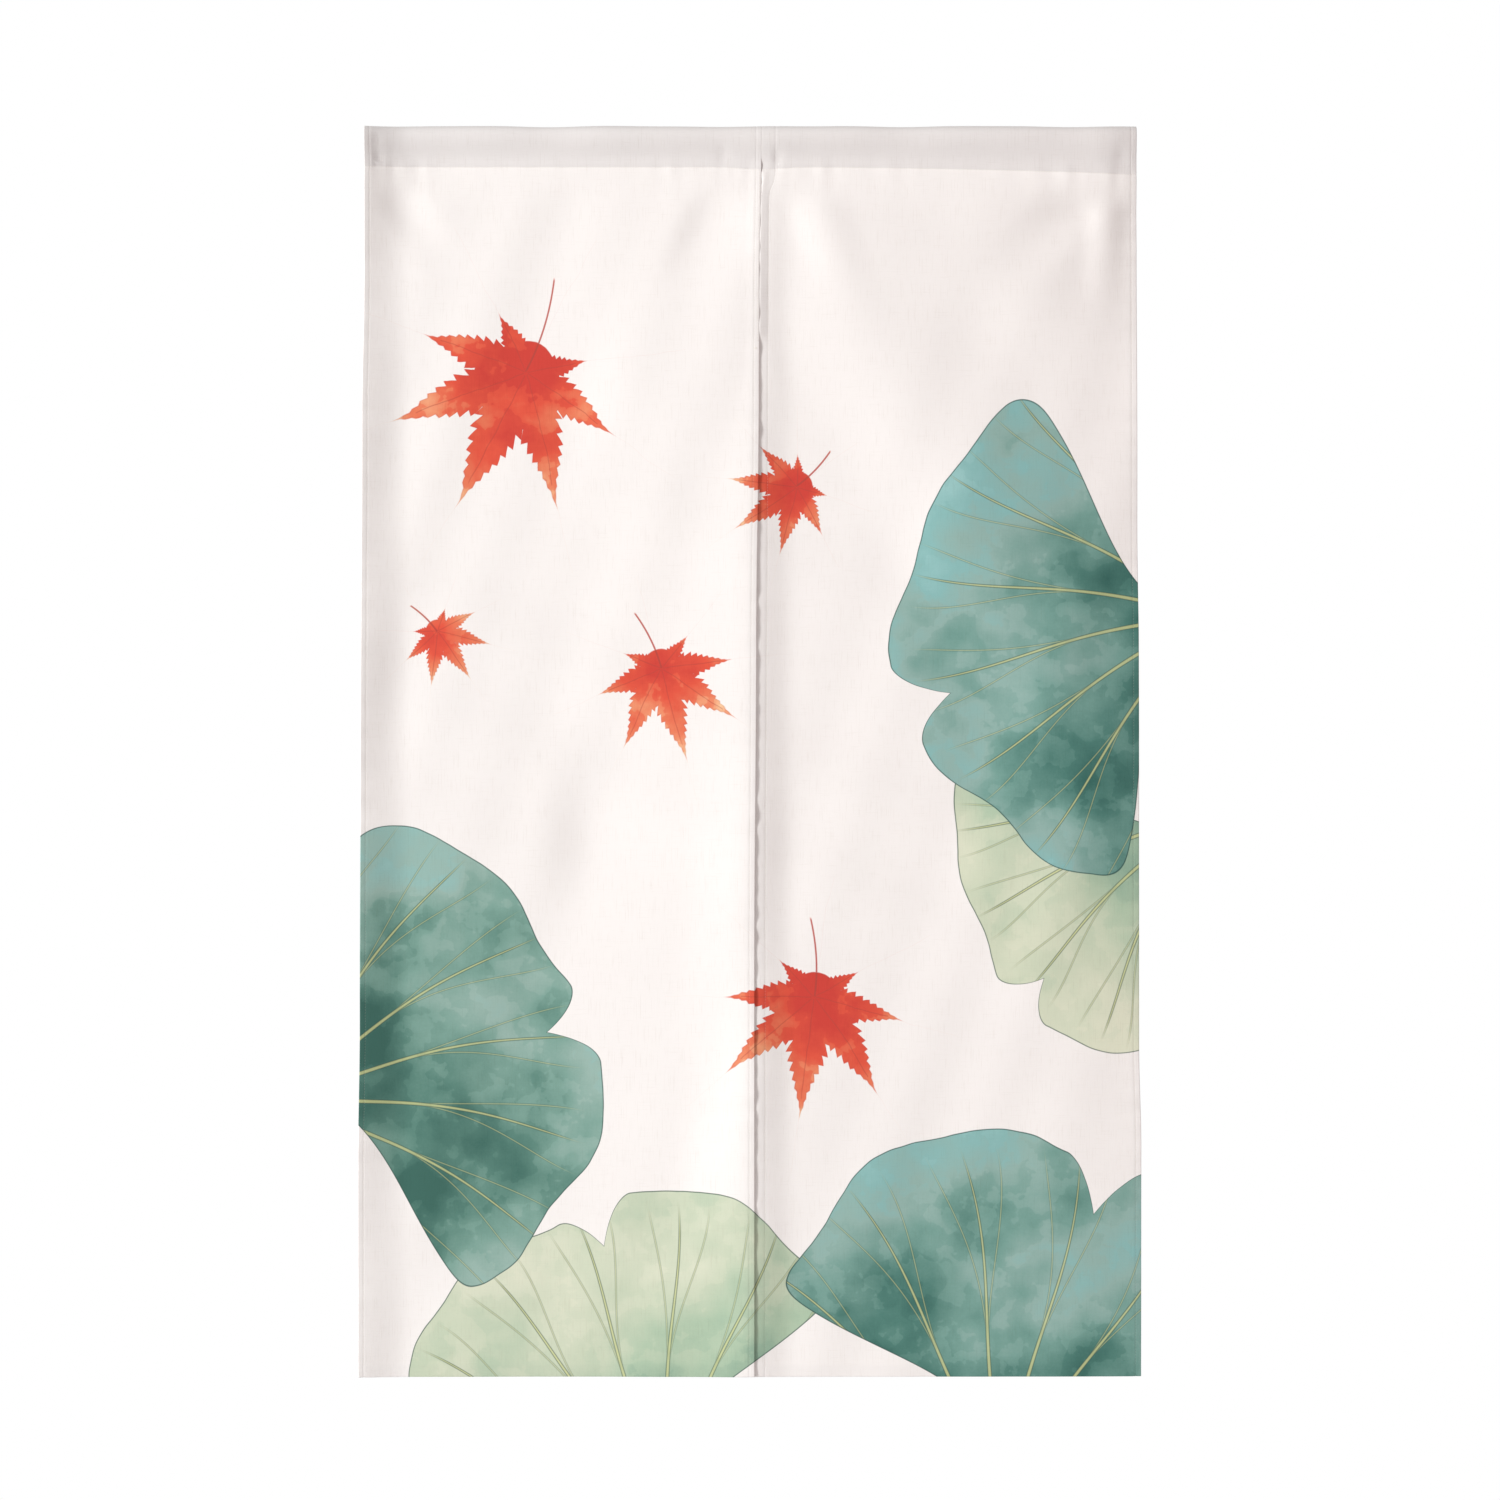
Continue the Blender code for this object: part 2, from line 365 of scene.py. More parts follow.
    def seam_ridge(self, across: Array, drop: Array) -> Array:
        """How far the right drop bulges forward beside the seam, where the left drop is sewn down on it."""
        beside = across - self.edge(self.split, drop)
        rise = ease((beside - self.seam_gap) / self.ridge_rise) * bell(beside, self.ridge_reach)
        below = ease((drop - self.ridge_top) / (self.ridge_full - self.ridge_top))
        above = ease((self.joined_drop - drop) / self.ridge_end)
        return self.ridge_height * rise * below * above

    def swollen(self, swells: tuple[Swell, ...], across: Array, drop: Array) -> Array:
        """How far a set of swells moves the cloth forward at each point."""
        total = np.zeros(np.broadcast(across, drop).shape)
        for swell in swells:
            beside = across - swell.across - swell.lean * (drop - swell.drop)
            reach = np.where(beside < 0, swell.reach_left, swell.reach_right)
            total = total + swell.push * bell(beside, reach) * bell(drop - swell.drop, swell.half_height)
        return total

    def curl(self, across: Array, drop: Array) -> Array:
        """How far the heading's own ends curl forward or back, in all its layers alike."""
        return self.swollen(self.heading_ends, across, drop)

    def drawn_in(self, across: Array, drop: Array) -> Array:
        """How far the dimples draw the heading's front in at each place."""
        total = np.zeros(np.broadcast(across, drop).shape)
        for dimple in self.dimples:
            spread = bell(across - dimple.across, dimple.half_width)
            spread = spread * bell(drop - dimple.drop, dimple.half_height)
            total = total + dimple.depth * spread
        return total


# The cloth's mesh


@dataclass(frozen=True)
class SewnLine:
    """Points along a line on the cloth, the way it faces there and its places on the print."""

    points: Array
    outward: Array
    place: Array

    def lowered(self, fall: float) -> "SewnLine":
        """The same line, further down."""
        return SewnLine(self.points - np.array([0.0, 0.0, fall]), self.outward, self.place)


@dataclass(frozen=True)
class Hem:
    """A hem that is turned twice.

    width is how far it reaches from the fold and stitch where its stitches run, tone is how much painted
    shade its layers get next to the heading's, standing in for less light shining through the layered cloth,
    and finer lists further distances at which its front is cut.
    """

    width: float
    stitch: float
    tone: float
    finer: tuple[float, ...] = ()

    def front(self) -> list[float]:
        """The distances in from the fold at which the front is cut, closest by the fold and the stitches."""
        s = self.stitch
        fold = [0.45 * MM, 0.9 * MM, 0.3 * s, 0.6 * s]
        about = [s - 1.0 * MM, s - 0.4 * MM, s, s + 0.4 * MM, s + 1.1 * MM, s + 2.6 * MM]
        return sorted([*fold, *about, *self.finer])


RAW_TURN = tuple(math.pi * share for share in (0.2, 0.5, 0.8))
SIDE_FOLD = tuple(math.pi * share for share in (0.12, 0.32, 0.5, 0.68, 0.88))
FOOT_FOLD = tuple(math.pi * share for share in (0.1, 0.3, 0.5, 0.7, 0.9))
# Each hem's tone is its share of painted shade for its layered cloth, which lets less light through.
SIDE_HEM = Hem(width=0.0065, stitch=0.0050, tone=0.35)
NEAR_SEAM_CUTS = (0.00470, 0.00495, 0.00520, 0.00545, 0.00570, 0.00595, 0.00620)
UNDER_CUTS = (*NEAR_SEAM_CUTS, 0.0065, 0.0069, 0.0075, 0.0090, 0.0106)
UNDER_HEM = Hem(width=0.0145, stitch=0.0134, tone=0.40, finer=UNDER_CUTS)
FOOT_HEM = Hem(width=0.0100, stitch=0.0088, tone=0.20)


@dataclass
class Columns:
    """The lines that run down a drop, from one raw edge round its hems to the other.

    share is 0 at the left fold and 1 at the right one, offset is metres from there, and depth is how far
    behind the printed face's own layer a line lies.
    """

    share: Array
    offset: Array
    depth: Array
    hemmed: Array
    stitched_front: tuple[int, int]
    stitched_back: tuple[int, int]
    folds: tuple[int, int]


@dataclass
class ClothGrid:
    """A sheet of cloth as a grid of points in rows and columns, with its flat lengths and print places."""

    points: Array
    print_across: Array
    print_along: Array
    # layers is painted shade at each point: darker where the cloth is layered, standing in for less light
    # shining through.
    layers: Array
    thickness: float

    def outward(self) -> Array:
        """The direction that the printed face looks in at each point."""
        down = np.gradient(self.points, axis=0)
        right = np.gradient(self.points, axis=1)
        normal = np.cross(down, right)
        return normal / np.maximum(np.linalg.norm(normal, axis=2, keepdims=True), 1e-12)

    def pull(self, depth: Array) -> None:
        """Draws the points in against the printed face by these depths."""
        self.points = self.points - self.outward() * depth[:, :, None]

    def lengths(self) -> tuple[Array, Array]:
        """The flat distance along the middle row and down the middle column to each line."""
        across = np.linalg.norm(np.diff(self.points[self.points.shape[0] // 2], axis=0), axis=1)
        down = np.linalg.norm(np.diff(self.points[:, self.points.shape[1] // 2], axis=0), axis=1)
        return np.concatenate([[0.0], np.cumsum(across)]), np.concatenate([[0.0], np.cumsum(down)])

    def line(self, row: Array, column: Array, in_front: bool) -> "SewnLine":
        """A line on the printed face, along which stitches can run.

        Args:
            row, column: the grid points of the line.
            in_front: whether it lies on the curtain's front, where the stitches take the print.

        Returns:
            The line.
        """
        outward = self.outward()[row, column]
        side = np.full(row.shape, 1.0 if in_front else 0.0)
        place = np.stack([self.print_across[row, column], self.print_along[row, column], side], axis=-1)
        return SewnLine(self.points[row, column] + outward * self.thickness / 2, outward, place)

    def build(self, name: str, finish: Material) -> Piece:
        """Makes the closed sheet, its print attributes and its flat UV map.

        Args:
            name: the piece's name.
            finish: the cloth's material.

        Returns:
            The new object.
        """
        rows, columns = self.points.shape[:2]
        outward = self.outward() * self.thickness / 2
        corners = np.concatenate([(self.points + way).reshape(-1, 3) for way in (outward, -outward)])
        index = np.arange(rows * columns).reshape(rows, columns)
        a, b, c, d = index[:-1, :-1], index[1:, :-1], index[1:, 1:], index[:-1, 1:]
        printed = np.stack([a, b, c, d], axis=-1).reshape(-1, 4)
        reverse = np.stack([d, c, b, a], axis=-1).reshape(-1, 4) + rows * columns
        rims = []
        for line in (index[0], index[-1][::-1], index[:, 0][::-1], index[:, -1]):
            back = line + rows * columns
            rims.append(np.stack([line[:-1], line[1:], back[1:], back[:-1]], axis=-1))
        faces = np.concatenate([printed, reverse, *rims])
        mesh = bpy.data.meshes.new(name)
        mesh.from_pydata(corners.tolist(), [], faces.tolist())
        mesh.shade_smooth()
        self.mark(mesh)
        self.unroll(mesh, len(printed), len(reverse), faces)
        mesh.materials.append(finish)
        mesh.validate()
        return put_in_scene(name, mesh)

    def mark(self, mesh: bpy.types.Mesh) -> None:
        """Writes where each point lies on the print, whether on its printed side, and its painted shade for
        layered cloth.
        """
        across, along = self.print_across.ravel(), self.print_along.ravel()
        sides = (np.ones(across.size), np.zeros(across.size))
        place = np.concatenate([np.stack([across, along, side], axis=-1) for side in sides])
        write_places(mesh, place)
        # The layers attribute holds painted shade, not a count of plies.
        layers = mesh.attributes.new("layers", "FLOAT", "POINT")
        layers.data.foreach_set("value", np.tile(self.layers.ravel(), 2).astype(np.float32))

    def unroll(self, mesh: bpy.types.Mesh, printed: int, reverse: int, faces: Array) -> None:
        """Lays the cloth out flat in the UV map: its printed side left, its reverse right, its rims between.

        Args:
            mesh: the sheet's mesh.
            printed, reverse: how many faces lie on each side, in that order.
            faces: the corners of each face.
        """
        edge, half = 0.004, 0.492
        across, down = self.lengths()
        u = np.broadcast_to(across[None, :] / across[-1], self.print_across.shape).ravel()
        v = np.broadcast_to(1 - down[:, None] / down[-1], self.print_across.shape).ravel()
        u, v = np.tile(u, 2), edge + np.tile(v, 2) * (1 - 2 * edge)
        side = np.repeat([0, 1, 2], [printed * 4, reverse * 4, (len(faces) - printed - reverse) * 4])
        corner = faces.ravel()
        on_reverse = corner >= len(u) // 2
        placed = np.where(side == 0, edge + u[corner] * (half - edge), 1 - edge - u[corner] * (half - edge))
        rim = 0.5 + np.where(on_reverse, 0.002, -0.002)
        write_map(mesh, np.stack([np.where(side == 2, rim, placed), v[corner]], axis=-1))


@dataclass
class Drop:
    """One drop of the curtain: a single cloth with its rod pocket, side hems and foot hem turned in it."""

    side: Side
    shape: HungShape
    thickness: float = 0.00032
    ply: float = 0.00038
    base: float = 0.0004
    tube_radius: float = 0.0085
    lip_rise: float = 0.0050
    lip_fold: float = 0.0018
    tucked: float = 0.0070
    middle_columns: int = 62
    edge_density: float = 0.06
    row_pitch: float = 0.0040
    first_row: float = 0.0042
    last_row: float = 0.0012
    wall_rows: int = 8
    crown_rows: int = 14
    stitch_pull: float = 0.00016
    hem_ripple_fall: float = 0.012
    hem_ripples: tuple[Ripple, Ripple] = (
        Ripple(seed=21, shortest=0.014, longest=0.050, height=0.00022),
        Ripple(seed=33, shortest=0.014, longest=0.050, height=0.00022),
    )
    stitch_rows: dict[str, int] = field(default_factory=dict)
    columns: Columns = field(init=False)
    grid: ClothGrid = field(init=False)

    @property
    def name(self) -> str:
        """The piece's name."""
        return f"{self.side.value}_drop"

    @property
    def replaced(self) -> tuple[str, str]:
        """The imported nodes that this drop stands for."""
        return f"{self.side.value}_panel", f"{self.side.value}_rod_pocket"

    @property
    def hems(self) -> tuple[Hem, Hem]:
        """The left-hand and the right-hand hem."""
        return (SIDE_HEM, SIDE_HEM) if self.side is Side.LEFT else (UNDER_HEM, SIDE_HEM)

    def hem_lines(self, hem: Hem) -> tuple[list[tuple[float, float]], int, int, int]:
        """The lines of one side hem, from its raw edge to the front.

        Args:
            hem: the hem.

        Returns:
            The lines as (distance in from the fold, depth), and the places in that list of the stitches
            on the back, of the fold and of the stitches on the front.
        """
        ply = self.ply
        lines = [(hem.width * share, ply) for share in (0.25, 0.6, 0.9)]
        for angle in RAW_TURN:
            lines.append((hem.width + 0.5 * ply * math.sin(angle), ply * (1.5 - 0.5 * math.cos(angle))))
        lines.append((hem.stitch + 0.5 * MM, 2 * ply))
        lines.append((hem.stitch, 2 * ply))
        back = len(lines) - 1
        lines += [(hem.stitch - 0.5 * MM, 2 * ply), (0.5 * hem.width, 2 * ply), (0.2 * hem.width, 2 * ply)]
        for angle in SIDE_FOLD:
            lines.append((ply * (1 - math.sin(angle)), ply * (1 + math.cos(angle))))
        fold = len(lines) - 3
        front = [(distance, 0.0) for distance in hem.front()]
        return lines + front, back, fold, len(lines) + hem.front().index(hem.stitch)

    def lay_columns(self) -> Columns:
        """Sets out the lines that run down the drop."""
        left, left_back, left_fold, left_front = self.hem_lines(self.hems[0])
        right, right_back, right_fold, right_front = self.hem_lines(self.hems[1])
        steps = np.linspace(0, 1, self.middle_columns + 2)[1:-1]
        steps = steps - self.edge_density * np.sin(math.tau * steps)
        middle = left[-1][0] * (1 - steps) - right[-1][0] * steps
        share = np.concatenate([np.zeros(len(left)), steps, np.ones(len(right))])
        offset = np.concatenate([[x for x, _ in left], middle, [-x for x, _ in reversed(right)]])
        depth = np.concatenate([[d for _, d in left], np.zeros(len(steps)), [d for _, d in reversed(right)]])
        last = len(share) - 1
        inward = np.abs(offset) * ((share == 0) | (share == 1)) + 1.0 * ((share > 0) & (share < 1))
        widths = np.where(share < 0.5, self.hems[0].width, self.hems[1].width)
        hemmed = ease((widths + 1.6 * MM - inward) / (1.4 * MM))
        return Columns(
            share=share,
            offset=offset,
            depth=depth,
            hemmed=hemmed,
            stitched_front=(left_front, last - right_front),
            stitched_back=(left_back, last - right_back),
            folds=(left_fold, last - right_fold),
        )

    def lay_rows(self, across: Array) -> tuple[Array, Array, Array, Array]:
        """Sets out the rows, from the raw edge in the pocket over the rod and down to the foot's raw edge.

        Args:
            across: how far across each column lies at the heading.

        Returns:
            The forward distance and the drop of each row at each column, how far the row's pocket is
            rounded out (0 flat, 1 at the tube), and whether the row is the front layer.
        """
        shape, ply, base = self.shape, self.ply, self.base
        hemmed = self.columns.hemmed
        sewn = shape.sewn_drop(across)
        hidden = base - ply * (1 + 2 * hemmed)
        back = base - ply * (2 + 6 * hemmed)
        fold = sewn + self.lip_fold
        lip = sewn - self.lip_rise
        radius, middle = self.tube_radius, self.tube_radius - self.thickness / 2
        level = np.full(across.shape, base)
        rows: list[tuple[Array, Array, float, float]] = []
        for share in (0.0, 0.5, 0.9):
            rows.append((hidden, fold - self.tucked * (1 - share), 0.0, 0.0))
        for angle in RAW_TURN:
            turned = 0.5 - 0.5 * math.cos(angle)
            rows.append((hidden + (back - hidden) * turned, fold + 0.5 * ply * math.sin(angle), 0.0, 0.0))
        self.stitch_rows["heading_back"] = len(rows) + 1
        for drop in (fold - 0.8 * MM, sewn, sewn - 0.9 * MM, lip):
            rows.append((back, drop, 0.0, 0.0))
        for step in range(1, self.wall_rows):
            share = step / self.wall_rows
            full = 0.5 - 0.5 * math.cos(math.pi * share)
            rows.append((back * (1 - full) - middle * full, lip + (radius - lip) * share, full, 0.0))
        for step in range(self.crown_rows + 1):
            angle = math.pi * (1 - step / self.crown_rows)
            outward = np.full(across.shape, middle * math.cos(angle))
            drop = np.full(across.shape, radius - middle * math.sin(angle))
            rows.append((outward, drop, 1.0, step / self.crown_rows))
        for step in range(self.wall_rows - 1, 0, -1):
            share = step / self.wall_rows
            full = 0.5 - 0.5 * math.cos(math.pi * share)
            rows.append((level * (1 - full) + middle * full, lip + (radius - lip) * share, full, 1.0))
        for drop in (lip, sewn - 1.6 * MM, sewn - 0.6 * MM):
            rows.append((level, drop, 0.0, 1.0))
        self.stitch_rows["heading_front"] = len(rows)
        for drop in (sewn, sewn + 0.6 * MM, sewn + 1.6 * MM):
            rows.append((level, drop, 0.0, 1.0))
        sag = sewn - shape.pocket_drop
        first, last = shape.pocket_drop + self.first_row, shape.drop - self.last_row
        for drop in np.linspace(first, last, round((last - first) / self.row_pitch)):
            left = max(0.0, (shape.sag_end - drop) / (shape.sag_end - shape.pocket_drop))
            rows.append((level, drop + sag * left, 0.0, 1.0))
        self.stitch_rows["foot"] = len(rows) - 1
        foot = np.full(across.shape, shape.drop)
        for angle in FOOT_FOLD:
            turned = 0.5 - 0.5 * math.cos(angle)
            rise = ply * (1 - math.sin(angle))
            rows.append((level + (back - level) * turned, foot - rise, 0.0, 1.0 - turned))
        self.stitch_rows["foot_fold"] = len(rows) - 3
        for share in (0.25, 0.6):
            rows.append((back, foot - FOOT_HEM.width * share, 0.0, 0.0))
        self.stitch_rows["foot_back"] = len(rows)
        rows.append((back, foot - FOOT_HEM.stitch, 0.0, 0.0))
        for angle in RAW_TURN:
            turned = 0.5 - 0.5 * math.cos(angle)
            rise = 0.5 * ply * math.sin(angle)
            rows.append((back + (hidden - back) * turned, foot - FOOT_HEM.width - rise, 0.0, 0.0))
        for share in (0.85, 0.5, 0.2):
            rows.append((hidden, foot - FOOT_HEM.width * share, 0.0, 0.0))
        spread = [np.array([np.broadcast_to(part, across.shape) for part in kind]) for kind in zip(*rows)]
        return spread[0], spread[1], spread[2], spread[3]

    def hem_ripple(self, across: Array, drop: Array, left: Array, right: Array) -> Array:
        """The small waves that the side hems' sewing leaves beside it."""
        below = ease((drop - self.shape.pocket_drop) / self.shape.release_drop)
        total = np.zeros(across.shape)
        for ripple, edge in zip(self.hem_ripples, (left, right)):
            total = total + ripple.along(drop) * np.exp(-np.abs(across - edge) / self.hem_ripple_fall)
        return total * below

    def lay_grid(self) -> ClothGrid:
        """Works out the whole sheet, with its folds, hems, sewing and relief."""
        shape, columns = self.shape, self.columns
        top = np.full(columns.share.shape, shape.pocket_drop)
        at_top = shape.left_edge(self.side, top) * (1 - columns.share)
        at_top = at_top + shape.right_edge(self.side, top) * columns.share + columns.offset
        flat, drop, full, front = self.lay_rows(at_top)
        left, right = shape.left_edge(self.side, drop), shape.right_edge(self.side, drop)
        across = left * (1 - columns.share) + right * columns.share + columns.offset
        along_forward, along_drop = np.gradient(flat, axis=0), np.gradient(drop, axis=0)
        length = np.maximum(np.hypot(along_forward, along_drop), 1e-12)
        look_forward, look_up = along_drop / length, along_forward / length
        depth = np.broadcast_to(columns.depth, drop.shape)
        relief = shape.forward(self.side, across, drop) * (1 - full)
        relief = relief + self.hem_ripple(across, drop, left, right) * (1 - full)
        slack = shape.slack.along(across) * full
        dented = shape.drawn_in(across, drop) * front
        forward = flat + relief + shape.curl(across, drop) - dented + look_forward * (slack - depth)
        up = -drop + look_up * (slack - depth)
        points = np.stack([across, -forward, up], axis=-1)
        grid = ClothGrid(
            points=points,
            print_across=across,
            print_along=-drop,
            layers=self.lay_painted_layer_shade(across, drop),
            thickness=self.thickness,
        )
        self.place_print(grid)
        grid.pull(self.stitch_depth(drop.shape))
        return grid

    def lay_painted_layer_shade(self, across: Array, drop: Array) -> Array:
        """How much painted shade each place gets for the layers behind it, standing in for less light shining
        through: 1 on the heading, less on the hems.
        """
        heading = ease((self.shape.sewn_drop(across) + 0.3 * MM - drop) / (0.8 * MM))
        foot = ease((drop - self.shape.drop + FOOT_HEM.width + 0.8 * MM) / (1.2 * MM))
        hem_shade_shares = np.where(self.columns.share < 0.5, self.hems[0].tone, self.hems[1].tone)
        return np.maximum(heading, np.maximum(foot * FOOT_HEM.tone, self.columns.hemmed * hem_shade_shares))

    def place_print(self, grid: ClothGrid) -> None:
        """Carries the print round the folds: past a fold its place goes on by the cloth's own length."""
        across, down = grid.lengths()
        first, last = self.columns.folds
        for column in range(first):
            grid.print_across[:, column] = grid.print_across[:, first] - (across[first] - across[column])
        for column in range(last + 1, len(across)):
            grid.print_across[:, column] = grid.print_across[:, last] + (across[column] - across[last])
        top, foot = self.stitch_rows["heading_front"], self.stitch_rows["foot_fold"]
        for row in range(top):
            grid.print_along[row] = grid.print_along[top] + (down[top] - down[row])
        for row in range(foot + 1, len(down)):
            grid.print_along[row] = grid.print_along[foot] - (down[row] - down[foot])

    def stitch_depth(self, shape: tuple[int, int]) -> Array:
        """How far the stitches draw each point in."""
        depth = np.zeros(shape)
        for column in (*self.columns.stitched_front, *self.columns.stitched_back):
            depth[:, column] += self.stitch_pull
            depth[:, column - 1] += 0.4 * self.stitch_pull
            depth[:, column + 1] += 0.4 * self.stitch_pull
        for row in (self.stitch_rows["heading_front"], self.stitch_rows["heading_back"]):
            depth[row] += 2 * self.stitch_pull
            depth[row - 1] += self.stitch_pull
            depth[row + 1] += self.stitch_pull
        return depth

    def build(self, finish: Material) -> Piece:
        """Args:
            finish: the cloth's material.

        Returns:
            The new piece.
        """
        self.columns = self.lay_columns()
        self.grid = self.lay_grid()
        piece = self.grid.build(self.name, finish)
        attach(piece, BODY)
        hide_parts(*self.replaced)
        return piece

    def flat_size(self) -> tuple[float, float]:
        """The size that the drop was cut to, raw edge to raw edge."""
        across, down = self.grid.lengths()
        return float(across[-1]), float(down[-1])


# The sewing


@dataclass(frozen=True)
class Stitch:
    """One stitch: its two ends, the way the cloth faces under it and its place on the print."""

    begin: Array
    end: Array
    up: Array
    place: Array


@dataclass(frozen=True)
class StitchRun:
    """A row of lockstitches along a line on the cloth."""

    line: SewnLine
    pitch: float
    length: float
    start: float = 0.0

    def stitches(self) -> list[Stitch]:
        """Every stitch of the row."""
        steps = np.linalg.norm(np.diff(self.line.points, axis=0), axis=1)
        travelled = np.concatenate([[0.0], np.cumsum(steps)])

        def at(values: Array, place: float) -> Array:
            """These values of the line at one distance along it."""
            return np.array([np.interp(place, travelled, values[:, axis]) for axis in range(3)])

        found = []
        begin = self.start + 0.5 * (self.pitch - self.length)
        while begin + self.length < travelled[-1]:
            middle = begin + 0.5 * self.length
            up = at(self.line.outward, middle)
            ends = at(self.line.points, begin), at(self.line.points, begin + self.length)
            found.append(Stitch(*ends, up / np.linalg.norm(up), at(self.line.place, middle)))
            begin += self.pitch
        return found


@dataclass(frozen=True)
class Station:
    """A ring of a stitch: how far along it, how high over the cloth and how wide, in radii of the thread."""

    along: float
    height: float
    width: float


@dataclass
class Thread:
    """All the visible stitches of one line of work, joined in one mesh."""

    name: str
    runs: list[StitchRun]
    radius: float = 0.00019
    sides: int = 6
    tile_margin: float = 0.1
    stations: tuple[Station, ...] = (
        Station(0.00, -0.9, 0.55),
        Station(0.18, 0.15, 1.00),
        Station(0.82, 0.15, 1.00),
        Station(1.00, -0.9, 0.55),
    )

    def rings(self, stitch: Stitch) -> Array:
        """The corners of one stitch, which dives into the cloth at both ends."""
        along = stitch.end - stitch.begin
        beside = np.cross(along, stitch.up)
        beside = beside / np.linalg.norm(beside)
        angles = math.tau * np.arange(self.sides)[:, None] / self.sides
        circle = beside * np.cos(angles) + stitch.up * np.sin(angles)
        found = []
        for station in self.stations:
            middle = stitch.begin + along * station.along + stitch.up * station.height * self.radius
            found.append(middle + circle * self.radius * station.width)
        return np.concatenate(found)

    def patches(self) -> tuple[list[tuple[int, ...]], list[tuple[float, float]]]:
        """The faces of one stitch, and where their corners lie in its tile of the UV map."""
        last = len(self.stations) - 1
        faces, corners = [], []
        for station in range(last):
            for side in range(self.sides):
                here = station * self.sides + side
                after = station * self.sides + (side + 1) % self.sides
                faces.append((here, after, after + self.sides, here + self.sides))
                low, high = station / last, (station + 1) / last
                near, far = side / self.sides, (side + 1) / self.sides
                corners += [(near, low), (far, low), (far, high), (near, high)]
        faces.append(tuple(reversed(range(self.sides))))
        faces.append(tuple(last * self.sides + side for side in range(self.sides)))
        corners += [(0.5, 0.1)] * self.sides + [(0.5, 0.9)] * self.sides
        return faces, corners

    def build(self, finish: Material) -> Piece:
        """Makes the stitches, their places on the print and a UV map with a tile for each stitch.

        Args:
            finish: the thread's material.

        Returns:
            The new piece.
        """
        stitches = [stitch for run in self.runs for stitch in run.stitches()]
        patches, tile_corners = self.patches()
        ring_size = len(self.stations) * self.sides
        firsts = range(0, len(stitches) * ring_size, ring_size)
        faces = [tuple(corner + first for corner in patch) for first in firsts for patch in patches]
        mesh = bpy.data.meshes.new(self.name)
        mesh.from_pydata(np.concatenate([self.rings(stitch) for stitch in stitches]).tolist(), [], faces)
        mesh.shade_smooth()
        write_places(mesh, np.repeat([stitch.place for stitch in stitches], ring_size, axis=0))
        tiles = math.ceil(math.sqrt(len(stitches)))
        number = np.arange(len(stitches))
        corner = np.array(tile_corners) * (1 - 2 * self.tile_margin) + self.tile_margin
        tile = np.stack([number % tiles, number // tiles], axis=-1)
        write_map(mesh, (tile[:, None, :] + corner[None, :, :]) / tiles)
        mesh.materials.append(finish)
        piece = put_in_scene(self.name, mesh)
        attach(piece, BODY)
        return piece


